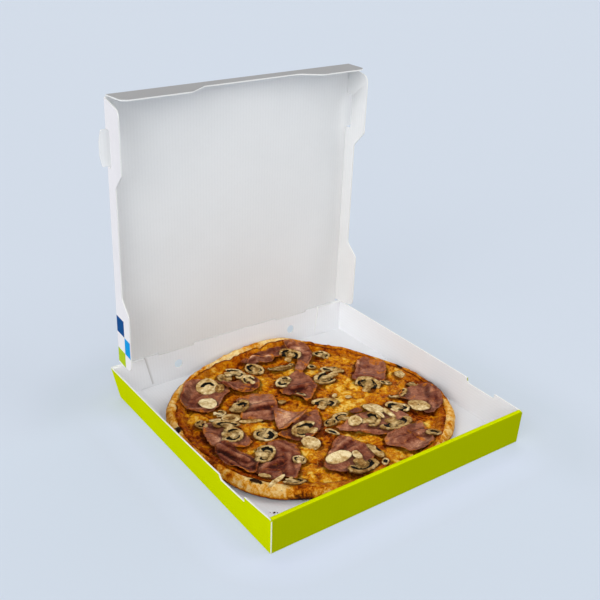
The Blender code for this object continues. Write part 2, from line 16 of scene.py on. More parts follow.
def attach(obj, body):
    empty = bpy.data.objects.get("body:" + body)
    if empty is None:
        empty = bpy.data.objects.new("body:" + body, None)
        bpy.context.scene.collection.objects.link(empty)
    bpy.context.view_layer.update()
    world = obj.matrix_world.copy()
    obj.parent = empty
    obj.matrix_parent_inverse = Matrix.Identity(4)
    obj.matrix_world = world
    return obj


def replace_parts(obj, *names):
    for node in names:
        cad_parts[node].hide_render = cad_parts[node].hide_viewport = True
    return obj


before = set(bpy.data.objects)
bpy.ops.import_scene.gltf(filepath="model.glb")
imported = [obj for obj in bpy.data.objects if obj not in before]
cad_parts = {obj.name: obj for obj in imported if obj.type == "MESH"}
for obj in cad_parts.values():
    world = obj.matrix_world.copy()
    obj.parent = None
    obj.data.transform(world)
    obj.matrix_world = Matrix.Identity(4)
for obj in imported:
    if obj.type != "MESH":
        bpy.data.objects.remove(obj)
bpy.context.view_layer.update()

MM = 0.001
PIZZA_X, PIZZA_Y = 0.0, 5.0         # middle of the pizza
CHEESE_LEVEL = 10.1                 # where the cheese lies when it is smooth
BASE_FLOOR = 6.8                    # top of the baked base, under the cheese
BASE_UNDER = 1.8                    # underside of the baked base's rim
LEAST_RIM = 5.2                     # the rim stands at least this high over its underside
LOWEST = 1.65                       # nothing of the base reaches lower
BOARD = 1.5                         # thickness of the board
LID_LEAN = math.radians(2)
HINGE = (0.0, 168.25, 43.1)


# ------------------------------------------------------------- number patterns

def ease(t):
    """The smoothstep curve t²(3 − 2t) for t from 0 to 1."""
    return t * t * (3 - 2 * t)


def rise(low, high, value):
    """0 below low, 1 above high, and the smoothstep curve between them."""
    return ease(np.clip((value - low) / (high - low), 0, 1))


def chance(seed, *cells):
    """Repeatable number from 0 to 1 for whole-number cells: the fraction of a large sine."""
    mixed = seed * 17.137 + 0.71
    for weight, cell in zip((12.9898, 78.233, 37.719), cells):
        mixed = mixed + weight * cell
    return np.abs(np.sin(mixed) * 43758.5453) % 1.0


def mottle(x, y, size, seed=0.0):
    """Smooth noise from −1 to 1: chance values on a square lattice, joined by smoothstep."""
    u, v = np.asarray(x) / size, np.asarray(y) / size
    i, j = np.floor(u), np.floor(v)
    s, t = ease(u - i), ease(v - j)
    near = chance(seed, i, j) * (1 - s) + chance(seed, i + 1, j) * s
    far = chance(seed, i, j + 1) * (1 - s) + chance(seed, i + 1, j + 1) * s
    return 2 * (near * (1 - t) + far * t) - 1


def layered(x, y, size, seed=0.0, count=3):
    """Sum of mottles, each half the size and 0.55 of the strength of the one before."""
    total, weight, whole = 0.0, 1.0, 0.0
    for k in range(count):
        turned_x = x * math.cos(k) - y * math.sin(k)
        turned_y = x * math.sin(k) + y * math.cos(k)
        total = total + weight * mottle(turned_x, turned_y, size / 2 ** k, seed + 3.7 * k)
        whole += weight
        weight *= 0.55
    return total / whole


def spot(x, y, px, py, reach, squeeze=1.0, turn=0.0):
    """Soft round or oval spot: exp(−d²), d being the distance in shares of its reach."""
    a = math.radians(turn)
    dx, dy = x - px, y - py
    along = dx * math.cos(a) + dy * math.sin(a)
    across = (-dx * math.sin(a) + dy * math.cos(a)) / squeeze
    return np.exp(-(along ** 2 + across ** 2) / reach ** 2)


def spots(x, y, places):
    """The strongest of several soft spots."""
    return np.max([spot(x, y, *place) for place in places], axis=0)


def bell(turn, middle, spread):
    """exp(−d²), d being the angle between two directions in shares of the spread, in degrees."""
    away = (np.degrees(turn) - middle + 180) % 360 - 180
    return np.exp(-(away / spread) ** 2)


def spline(points, count):
    """Catmull-Rom curve through points (k, ...), sampled evenly: each span is the usual cubic."""
    padded = np.concatenate((points[:1], points, points[-1:]))
    place = np.linspace(0, len(points) - 1, count)
    k = np.minimum(place.astype(int), len(points) - 2)
    t = (place - k).reshape((-1,) + (1,) * (points.ndim - 1))
    a, b, c, d = (padded[k + shift] for shift in range(4))
    return 0.5 * (2 * b + (c - a) * t + (2 * a - 5 * b + 4 * c - d) * t ** 2
                  + (3 * b - a - 3 * c + d) * t ** 3)


# ------------------------------------------------------------------- mesh heaps

def stacked(x, y, z):
    """Join three grids of coordinates into points."""
    return np.stack(np.broadcast_arrays(x, y, z), axis=-1).astype(float)


def with_poles(rows):
    """Rings, (m, n) or (m, n, 3), as one list, then the mean of the first and of the last."""
    return np.concatenate((rows.reshape(-1, *rows.shape[2:]), rows[[0, -1]].mean(axis=1)))


def mesh_points(mesh):
    """The points of a mesh, in millimetres."""
    places = np.empty(len(mesh.vertices) * 3)
    mesh.vertices.foreach_get("co", places)
    return places.reshape(-1, 3) / MM


def placed(name, data):
    """A new object, linked into the scene."""
    thing = bpy.data.objects.new(name, data)
    bpy.context.scene.collection.objects.link(thing)
    return thing


class Heap:
    """Closed skins gathered into one mesh, with named values on each point."""

    def __init__(self):
        self.places, self.faces, self.values, self.size = [], [], {}, 0

    def add(self, rows, values):
        """Add a closed skin over rings of points, rows (m, n, 3), and its named values.

        The first and last rings shrink to a pole each: the mean of the ring.
        """
        m, n = rows.shape[:2]
        self.places.append(with_poles(rows))
        here = np.arange(n)
        beside = (here + 1) % n
        row = np.arange(m - 1)[:, None] * n
        quads = np.stack((row + here, row + beside, row + n + beside, row + n + here), axis=-1)
        last = (m - 1) * n
        low = np.stack((np.full(n, m * n), beside, here), axis=1)
        high = np.stack((last + here, last + beside, np.full(n, m * n + 1)), axis=1)
        self.faces += (quads.reshape(-1, 4) + self.size).tolist()
        self.faces += (np.concatenate((low, high)) + self.size).tolist()
        for key, value in values.items():
            whole = with_poles(np.broadcast_to(value, (m, n)))
            self.values.setdefault(key, []).append(whole)
        self.size += m * n + 2

    def note_shade_beside(self, ground):
        """Value beside: how far each point lies below what is heaped within 3 mm of it; cheese and
        ham turn it into painted shade.
        """
        field = ground.draped(1, 1)
        self.values["beside"] = [
            rise(0.8, 2.0, ground.at(places[:, 0], places[:, 1], field) - places[:, 2])
            for places in self.places
        ]

    def make(self, name, material):
        """Turn the heap into one smooth object in metres."""
        mesh = bpy.data.meshes.new(name)
        places = np.concatenate(self.places) * MM
        mesh.from_pydata(places.tolist(), [], self.faces)
        for key, parts in self.values.items():
            layer = mesh.attributes.new(key, "FLOAT", "POINT")
            layer.data.foreach_set("value", np.concatenate(parts).astype(np.float32))
        mesh.polygons.foreach_set("use_smooth", np.ones(len(mesh.polygons), dtype=bool))
        mesh.materials.append(material)
        return placed(name, mesh)


class Ground:
    """Height of what already lies in the tray, in millimetres, on a 1 mm grid."""

    HALF = 168
    LAST = 2 * HALF

    def __init__(self):
        self.height = np.full((self.LAST + 1,) * 2, BOARD)

    def stamp(self, places):
        """Raise the grid to points (..., 3), each over its own cell and the eight around it."""
        flat = places.reshape(-1, 3)
        i, j = (np.rint(flat[:, k] + self.HALF).astype(int) for k in (0, 1))
        for di in (-1, 0, 1):
            for dj in (-1, 0, 1):
                cells = np.clip(i + di, 0, self.LAST), np.clip(j + dj, 0, self.LAST)
                np.maximum.at(self.height, cells, flat[:, 2])

    def draped(self, reach, soften):
        """The grid as a limp slice feels it: highest within reach, then averaged."""
        field = self.height
        for gather, far, axis in ((np.max, reach, 0), (np.max, reach, 1),
                                  *((np.mean, soften, 0), (np.mean, soften, 1)) * 2):
            field = gather([np.roll(field, k, axis) for k in range(-far, far + 1)], axis=0)
        return field

    def at(self, x, y, field=None):
        """Height at places, by straight-line blending between the four cells around each."""
        field = self.height if field is None else field
        u, v = (np.clip(place + self.HALF, 0, self.LAST - 1.001) for place in (x, y))
        i, j = u.astype(int), v.astype(int)
        s, t = u - i, v - j
        return ((field[i, j] * (1 - s) + field[i + 1, j] * s) * (1 - t)
                + (field[i, j + 1] * (1 - s) + field[i + 1, j + 1] * s) * t)


# ------------------------------------------------------------------ baked base

def base_outline(around):
    """Edge radius, rim width and rim height at each angle, read off the CAD base.

    At each of the base's own angles the edge is its farthest point and the crest
    its highest; the rim is as wide as 2.5 times the way from edge to crest.
    """
    spokes, gap, near_middle = 60, 6, 50
    places = mesh_points(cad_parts["pizza_base"].data) - (PIZZA_X, PIZZA_Y, 0)
    radius = np.hypot(places[:, 0], places[:, 1])
    angle = np.degrees(np.arctan2(places[:, 1], places[:, 0])) % 360
    spoke = np.rint(angle / gap).astype(int) % spokes
    edge, width, height = np.empty((3, spokes))
    for k in range(spokes):
        mine = (spoke == k) & (radius > near_middle)
        top = places[mine, 2].argmax()
        edge[k] = radius[mine].max()
        width[k] = (edge[k] - radius[mine][top]) * 2.5
        height[k] = places[mine, 2][top] - BASE_UNDER
    fine = np.arange(around) * 360 / around
    window = np.hanning(around // spokes * 2 + 1)
    half = len(window) // 2
    found = []
    for column in (edge, width, height):
        line = np.interp(fine, np.arange(spokes) * gap, column, period=360)
        line = np.concatenate((line[-half:], line, line[:half]))
        found.append(np.convolve(line, window / window.sum(), mode="valid"))
    return np.radians(fine), *found


def at_front(turn, begins, whole):
    """1 along the front of the rim: eases in between two directions, and out from 296 to 318."""
    degrees = np.degrees(turn) % 360
    return rise(begins, whole, degrees) * (1 - rise(296, 318, degrees))


# Where the rim is pale: direction and spread in degrees
PALE_RIM = ((149, 8), (136, 9), (163, 7), (211, 8), (221, 10), (319, 12), (74, 11), (98, 18))

# How much browner the rim is in places: share, direction and spread in degrees
BROWNER_RIM = ((0.3, 233, 5), (0.12, 204, 8), (0.12, 26, 9), (-0.08, 5, 8), (0.1, 241, 7),
               (0.1, 332, 10))

# Burnt places of the base: x, y, reach, squeeze, turn
BURNT_BASE = (
    (-149, 44, 8, 0.7, 60), (-143, 24, 7, 0.7, 100), (-128, -82, 11, 0.42, 125),
    (-137, 68, 5, 0.5, 20), (-102, -126, 12, 0.25, -50), (-104, 137, 15, 0.3, 35),
    (-72, 152, 17, 0.3, 20), (128, 96, 9, 0.5, -50), (80, 152, 8, 0.6, -60),
    (-10, 163, 12, 0.3, 0), (150, 20, 9, 0.4, 90),
)


def make_base(ground):
    """The baked base: a dish of dough with a blistered, unevenly browned rim.

    Its cross-section is a spline from under the rim, round its outside and over
    its crest to the floor inside.  Blisters and dough grain push points away from
    the middle of that section.
    """
    around, rings, blisters = 720, 76, 46
    angles, edge, width, height = base_outline(around)
    # The cross-section: inward in shares of the rim's width, up in shares of its height
    shares = np.array((
        (1.6, 0.0), (0.6, 0.0), (0.3, 0.02), (0.1, 0.16), (0.0, 0.42), (0.05, 0.68), (0.18, 0.9),
        (0.4, 1.0), (0.62, 0.93), (0.8, 0.72), (0.92, 0.5), (1.05, 0.36), (1.4, 0.3), (1.7, 0.3),
    ))
    curve = spline(shares, rings)[:, :, None]
    inward, up = curve[:, 0], curve[:, 1]
    z = BASE_UNDER + up * np.maximum(height, LEAST_RIM)
    flat = rise(1.02, 1.3, inward) * (up > 0.2)
    z = z * (1 - flat) + BASE_FLOOR * flat
    radius = edge - inward * width
    turn = np.broadcast_to(angles, radius.shape)
    x, y = radius * np.cos(turn), radius * np.sin(turn)
    outward = (0.5 - inward) * 2
    lift = (up - 0.45) * 2
    length = np.hypot(outward, lift) + 0.3
    on_rim = (1 - rise(1.0, 1.25, inward)) * rise(0.02, 0.2, up + (inward < 0.5) * 0.2)
    around_rim = edge * turn
    swell = 1.1 * layered(around_rim, inward * 18 + up * 12, 17, 5) * on_rim
    swell += 0.45 * layered(around_rim, inward * 22 + up * 16, 5.5, 9) * on_rim
    swell += 0.16 * mottle(around_rim, inward * 24 + up * 20, 1.6, 12) * on_rim
    blister = np.zeros_like(x)
    for k in range(blisters):
        place = chance(3, k) * 2 * math.pi, 0.15 + 0.6 * chance(4, k)
        reach = 3.0 + 5.5 * chance(5, k) ** 2
        away = np.abs((turn - place[0] + math.pi) % (2 * math.pi) - math.pi) * edge
        across = (inward - place[1]) * width
        bump = np.exp(-(away ** 2 + across ** 2) / reach ** 2) * (up > 0.45)
        blister = np.maximum(blister, bump * (0.5 + 0.5 * chance(6, k)))
    swell += 1.7 * blister
    radius = radius + swell * outward / length
    z = z + swell * np.maximum(lift, -0.4) / length
    x, y = PIZZA_X + radius * np.cos(turn), PIZZA_Y + radius * np.sin(turn)
    rows = stacked(x, y, np.maximum(z, LOWEST))

    pale = np.max([bell(turn, *place) for place in PALE_RIM], axis=0)
    pale *= 1 - 0.4 * bell(turn, 151, 14)
    browned = 0.6 - 0.5 * pale - 0.24 * at_front(turn, 236, 246)
    browned += (0.5 - 0.2 * pale) * layered(around_rim, inward * 20, 16, 21)
    browned += 0.35 * blister - 0.2 * rise(0.25, 0.5, inward) * pale
    # Browner and burnt low on the rim's outside: partly real browning, partly painted shade at the
    # rim's foot
    under = (1 - rise(0.1, 0.62, up + 0.16 * layered(around_rim, up * 9, 11, 24))) * (inward < 0.5)
    browned += 1.1 * under + sum(more * bell(turn, *place) for more, *place in BROWNER_RIM)
    thin_edge = np.maximum(bell(turn, 126, 26), 0.8 * bell(turn, 30, 40))
    speckled = layered(around_rim, inward * 24 + up * 9, 7, 27)
    burnt = np.max((
        rise(0.25, 0.95, spots(x, y, BURNT_BASE) + 0.35 * layered(x, y, 7, 31)),
        0.85 * thin_edge * rise(0.35, 0.6, up) * (inward < 0.22),
        0.85 * rise(0.7, 1.05, under + 0.3 * layered(around_rim, up * 9, 17, 26)),
        0.52 * bell(turn, 232, 8) * (1 - rise(0.2, 0.8, up + 0.7 * speckled)),
    ), axis=0)
    sauced = rise(0.55, 0.85, inward + 0.22 * layered(x, y, 9, 41) + 0.15 * (1 - pale)
                  - 0.2 * bell(turn, 85, 55))
    heap = Heap()
    heap.add(rows, {"browned": browned, "burnt": burnt, "sauced": sauced})
    scatter_crumbs(heap)
    ground.stamp(rows[rings // 2:])
    return heap, (angles, edge, width)


# Crumbs fallen on the tray's floor: x, y and half width
CRUMBS = (
    (-130, -119, 1.1), (-127.5, -120.5, 0.6), (-133, -116, 0.5), (139, 96, 0.7), (-152, 78, 0.7),
)


def scatter_crumbs(heap):
    """Burnt crumbs: flattened balls, a little longer one way."""
    tip = np.radians(np.linspace(-80, 80, 7))[:, None]
    turn = np.arange(10) * math.pi / 5
    for number, (px, py, size) in enumerate(CRUMBS):
        reach = size * np.cos(tip) * (1 + 0.3 * np.cos(2 * turn + number))
        z = BOARD + 0.6 * size * (0.95 + np.sin(tip))
        heap.add(stacked(px + reach * np.cos(turn), py + reach * np.sin(turn), z),
                 {"browned": 1.2, "burnt": 0.5, "sauced": 0.0})


# --------------------------------------------------------------- melted cheese

# Bright places of the cheese: x, y, reach
BRIGHT_CHEESE = (
    (66, 28, 22), (42, -14, 26), (-70, 6, 14), (98, 76, 18), (-120, 54, 12), (-36, 66, 14),
    (-14, 90, 14), (22, 84, 16), (-72, -100, 24), (12, -68, 15), (24, -126, 15), (-62, 134, 17),
    (-46, -62, 16), (-52, -36, 12), (-18, 8, 14), (136, 12, 14), (112, -8, 16), (-92, -30, 10),
    (30, 156, 18), (76, -92, 13), (-132, 92, 10), (52, 78, 16), (-112, -92, 10), (92, -100, 10),
)


def make_cheese(ground, outline):
    """Melted cheese and sauce over the base.

    A polar grid; its height is the smooth level plus broad mounds plus islands of
    thicker cheese where noise passes a threshold.  Near the rim it climbs the
    dough's own slope and thins out to nothing.
    """
    angles, *columns = outline
    around, rings = 560, 138
    turn = np.arange(around) / around * 2 * math.pi
    rim, margin = (np.interp(turn, angles, line, period=2 * math.pi) for line in columns)
    front = at_front(turn, 226, 242)
    reach = rim - margin * (0.70 - 0.54 * front + 0.10 * mottle(rim * turn, 0, 16, 7)
                            + 0.07 * mottle(rim * turn, 0, 5, 8))
    share = np.linspace(0.004, 1, rings)[:, None] ** 0.86
    x = PIZZA_X + share * reach * np.cos(turn)
    y = PIZZA_Y + share * reach * np.sin(turn)
    bright = sum(spot(x, y, *place) for place in BRIGHT_CHEESE)
    clump = layered(x, y, 13, 51) + 0.5 * layered(x, y, 5, 55) + 0.35 * (bright - 0.4)
    cheesy = rise(-0.45, 0.35, clump)
    past_rim = np.hypot(x - PIZZA_X, y - PIZZA_Y) - (rim - margin)
    at_edge = rise(-5, 3, past_rim + 4 * layered(x, y, 12, 58)) * (1 - 0.7 * front)
    bright = bright + 0.6 * front * rise(-14, 4, past_rim)
    blobs = 0.7 * layered(x, y, 6.5, 64, 2) + 0.45 * mottle(x, y, 2.9, 63)
    relief = 0.9 * layered(x, y, 30, 61) + 1.6 * (cheesy - 0.5) + blobs
    level = CHEESE_LEVEL + relief * (1 - 0.7 * at_edge)
    bed = ground.at(x, y, ground.draped(0, 1))
    film = bed + 0.7 + 0.35 * layered(x, y, 4, 66) - 1.4 * rise(0.985, 1, share)
    top = stacked(x, y, np.maximum(level - 1.6 * rise(-3, 8, past_rim), film))
    few = slice(None, None, 12)     # the under side has one ring for twelve of the top
    under = stacked(x[few], y[few], np.minimum(bed[few], BASE_FLOOR) - 0.4)
    under[-1:, :, 2] = bed[-1:] - 0.6
    ground.stamp(top)
    fields = {
        "low": rise(0.1, -1.1, blobs + 0.7 * (cheesy - 0.6)),
        "cheesy": cheesy,
        "at_edge": at_edge,
        "bright": np.clip(bright, 0, 1),
        "oily": rise(-0.1, 0.6, layered(x, y, 24, 71) + 0.3 * layered(x, y, 6, 72)),
        "toasted": rise(-0.15, 0.65, layered(x, y, 9, 75) + 0.6 * cheesy * layered(x, y, 4, 76)),
        # 1 at the cheese's border, where its painted shade beside the rim is made weaker
        "ending": rise(0.94, 0.98, share) + 0 * x,
    }
    fields = {key: np.concatenate((field[few], field[::-1])) for key, field in fields.items()}
    fields["low"][:len(under)] = 0
    heap = Heap()
    heap.add(np.concatenate((under, top[::-1])), fields)
    return heap


# ------------------------------------------------------------------------- ham

# Each slice of ham: its tone, from −1 dark red to 1 pale, then its corners in millimetres
HAM = (
    (0.0, (-118, 76), (-122, 92), (-108, 112), (-92, 126), (-66, 122), (-55, 104), (-58, 87),
     (-74, 76), (-90, 62), (-107, 64)),
    (-0.1, (-60, 107), (-42, 105), (-20, 105), (-15, 92), (-22, 76), (-36, 73), (-50, 82)),
    (-0.3, (-10, 136), (-6, 142), (18, 144), (44, 144), (60, 141), (72, 135), (74, 126),
     (48, 124), (30, 122), (12, 134), (-2, 129)),
    (0.2, (58, 143), (76, 137), (83, 121), (76, 104), (62, 90), (44, 79), (37, 86), (48, 98),
     (56, 112)),
    (0.1, (-63, 66), (-46, 68), (-30, 62), (-19, 52), (-24, 36), (-32, 20), (-43, 7), (-57, 14),
     (-76, 29), (-71, 38), (-62, 50)),
    (0.0, (-61, -21), (-44, -18), (-26, -10), (3, -3), (1, -16), (-8, -31), (-22, -43),
     (-38, -46), (-50, -39)),
    (0.55, (-54, -19), (-31, -14), (-8, -4), (-18, 5), (-29, 14), (-36, 22), (-43, 12), (-50, -3)),
    (-0.2, (-7, 57), (6, 60), (16, 72), (30, 82), (41, 76), (41, 60), (39, 43), (30, 33),
     (17, 21), (6, 17), (2, 30), (-5, 42)),
    (0.0, (98, 42), (108, 54), (120, 64), (129, 61), (134, 50), (142, 41), (135, 27), (124, 15),
     (115, 5), (102, 9), (90, 19), (83, 29)),
    (0.0, (103, -36), (117, -25), (136, -25), (150, -38), (148, -55), (138, -72), (124, -83),
     (109, -80), (106, -64), (112, -49)),
    (0.1, (0, -46), (14, -43), (34, -38), (62, -43), (80, -52), (87, -64), (80, -79), (66, -91),
     (46, -90), (30, -79), (13, -62)),
    (0.05, (34, -92), (50, -89), (72, -89), (90, -87), (86, -101), (80, -117), (73, -130),
     (58, -133), (45, -129), (35, -116), (30, -103)),
    (-0.1, (-31, -79), (-18, -67), (-3, -63), (5, -76), (9, -92), (5, -109), (-13, -119),
     (-31, -123), (-45, -113), (-53, -99), (-44, -88)),
    (-0.1, (-78, -28), (-61, -31), (-57, -47), (-59, -63), (-67, -75), (-77, -87), (-89, -97),
     (-101, -87), (-110, -77), (-120, -67), (-113, -53), (-96, -55), (-85, -43)),
    (0.1, (-123, 37), (-110, 40), (-99, 25), (-91, 7), (-89, -10), (-96, -20), (-110, -17),
     (-124, -7), (-132, 3), (-131, 17), (-127, 28)),
    (-0.45, (-131, -3), (-120, -3), (-113, -21), (-107, -37), (-103, -50), (-111, -61),
     (-122, -67), (-130, -51), (-138, -36), (-137, -18)),
    (-0.9, (34, -30), (38, -25), (46, -26), (50, -32), (45, -38), (37, -37)),
    (0.5, (-8, 128), (4, 134), (16, 130), (28, 122), (22, 118), (8, 125), (-6, 122)),
    (-0.3, (-118, -72), (-106, -70), (-97, -78), (-100, -88), (-112, -88), (-119, -81)),
)

# Folds of the ham: from x, y to x, y, then height and half width in millimetres
FOLDS = (
    (-64, 44, -27, 36, 2.8, 4.0), (-72, 34, -44, 24, 1.6, 4.5), (-2, 34, 6, 20, 2.6, 3.0),
    (10, 50, 30, 47, 3.0, 4.5), (24, 36, 30, 50, 1.8, 3.5), (-6, 133, 12, 137, 2.6, 4.0),
    (12, 137, 30, 124, 2.6, 4.0), (62, 128, 74, 112, 1.6, 5.0), (-54, -18, -10, -5, 1.6, 3.0),
    (-128, -8, -114, -44, 3.6, 4.0), (-134, -20, -126, -58, 2.6, 3.0),
    (40, -104, 76, -106, 3.0, 5.0), (-34, -84, 0, -72, 2.2, 4.0), (-14, -90, 2, -88, 1.8, 4.0),
    (94, 36, 116, 60, 2.2, 3.0),
    (96, 30, 112, 12, 2.0, 4.0), (-112, -62, -84, -62, 2.4, 4.5), (-88, -84, -72, -58, 1.8, 4.0),
    (14, -60, 50, -86, 1.5, 3.0), (118, -78, 144, -46, 1.8, 4.0), (-118, 78, -90, 64, 2.0, 3.0),
    (-56, 104, -48, 84, 2.4, 2.5), (-126, 20, -112, -12, 1.6, 5.0), (-70, -34, -62, -66, 1.6, 4.0),
)

# Darker places and pale fat on the ham: x, y, reach, squeeze, turn
HAM_DARK = (
    (58, -107, 13, 0.5, -5), (-90, -68, 12, 0.7, 40), (14, 44, 12, 0.5, 30), (-48, 33, 15, 0.3, -8),
    (-128, -26, 16, 0.35, -75), (104, 22, 11, 0.6, -50), (44, -78, 9, 0.4, -40),
    (-14, -80, 9, 0.4, 20), (118, 44, 8, 0.6, 30), (20, 147, 16, 0.3, 0), (-30, 80, 9, 0.5, 30),
    (-26, -40, 9, 0.5, 0), (-118, -60, 8, 0.5, -40), (-104, 12, 8, 0.5, 60),
    (132, -60, 8, 0.6, 40), (-112, 84, 9, 0.5, 40),
)
HAM_PALE = (
    (-50, 48, 11, 0.45, -30), (60, -122, 10, 0.6, 20), (113, 54, 6, 0.6, 0), (-32, 4, 10, 0.7, 40),
    (2, 134, 12, 0.35, 10), (22, 128, 11, 0.3, -42), (70, 122, 8, 0.7, 0), (-120, 6, 8, 0.6, 80),
)


def closed_curve(corners, count):
    """Smooth closed curve through corners, as count points spaced evenly along it."""
    fine = 24
    corners = np.array(corners, dtype=float)
    around = np.concatenate((corners[-2:], corners, corners[:3]))
    curve = spline(around, (len(around) - 1) * fine + 1)[2 * fine:][:len(corners) * fine + 1]
    steps = np.hypot(*np.diff(curve, axis=0).T)
    gone = np.concatenate(((0,), np.cumsum(steps)))
    even = np.arange(count) / count * gone[-1]
    return np.stack([np.interp(even, gone, column) for column in curve.T], axis=1)


def to_segment(x, y, x1, y1, x2, y2):
    """Distance from places to a straight segment."""
    dx, dy = x2 - x1, y2 - y1
    share = np.clip(((x - x1) * dx + (y - y1) * dy) / (dx * dx + dy * dy), 0, 1)
    return np.hypot(x - x1 - share * dx, y - y1 - share * dy)


def make_ham(ground):
    """Slices of ham, each a limp sheet over what is under it.

    A slice is its outline shrunk towards its middle in rings, once for the under
    side and once for the top.  Its height is the ground smoothed over a few
    millimetres, plus soft waves, sharp folds along lines, and a curl of the rim.
    """
    around, thick, clear = 96, 1.1, 0.12
    heap = Heap()
    # How far each ring is from the middle, and the share of the thickness it is raised by
    under = 0.25, 0.55, 0.8, 0.93, 0.985, 1.0
    shares = np.concatenate((under, 1 - np.linspace(0, 1, 27)[1:] ** 1.15 * 0.97))[:, None]
    upper = np.concatenate(((0, 0, 0, 0, 0.12, 0.5, 0.86), np.ones(25)))[:, None]
    for number, (tone, *corners) in enumerate(HAM):
        edge = closed_curve(corners, around)
        middle = edge.mean(axis=0)
        reach = edge - middle
        along = np.hypot(*reach.T) * np.arctan2(reach[:, 1], reach[:, 0])
        ragged = 1 + 0.035 * mottle(along, 0, 7, number) + 0.02 * mottle(along, 0, 2.6, number + 40)
        x, y = (middle[k] + shares * (reach[:, k] * ragged) for k in (0, 1))
        lies = ground.at(x, y, ground.draped(2, 3))
        a = x * math.cos(number) + y * math.sin(number)
        b = y * math.cos(number) - x * math.sin(number)
        creases = 0.7 - 2 * np.abs(layered(a * 0.6, b, 9, 90 + number, 2))
        waves = 0.9 * layered(a, b * 0.5, 12, 80 + number) + 0.9 * creases
        waves += 0.34 * mottle(x, y, 4.2, 97) + 0.18 * mottle(x, y, 2.2, 99)
        folds, valley_shade = np.zeros((2, *x.shape))
        for *line, high, wide in FOLDS:
            gap = to_segment(x, y, *line)
            folds = np.maximum(folds, high * np.exp(-(gap / wide) ** 2))
            valley_shade = np.maximum(valley_shade, np.exp(-((gap - 1.25 * wide) / (0.5 * wide)) ** 2))
        rim = rise(0.84, 1.0, shares)
        curl = rim * (0.4 + 1.5 * rise(-0.1, 0.7, mottle(along, 0, 15, number + 7)))
        z = lies + 0.3 + np.maximum(waves, -0.9) * (0.45 + 0.55 * rim) + folds + curl
        places = stacked(x, y, np.maximum(z, lies + clear) + thick * upper)
        # painted shade: darker in the valleys beside folds and in wave troughs, besides the listed
        # darker places
        dark = spots(x, y, HAM_DARK) + 0.5 * valley_shade * (folds > 0.05) - 0.34 * waves
        rimmed = rise(0.9, 0.985, shares + 0.02 * layered(x, y, 5, number))
        covered = rise(0.74, 1.0, shares) * rise(-0.2, 0.6, layered(x, y, 14, number + 11))
        heap.add(places, {
            "tone": tone,
            "dark_places_and_shade": np.clip(dark, 0, 1.4),
            # pale fat where listed, and painted highlights on fold ridges and wave crests
            "pale": (spots(x, y, HAM_PALE) + 0.5 * rise(0.9, 2.4, folds)
                     + 0.3 * rise(0.5, 1.3, waves)),
            "rimmed": rimmed * rise(-0.5, 0.5, mottle(along, 0, 9, number + 23)),
            "covered": covered + 0.8 * rise(0.32, 0.62, layered(x, y, 11, 17)),
        })
        ground.stamp(places[len(under):])
    return heap


# ------------------------------------------------------------------- mushrooms

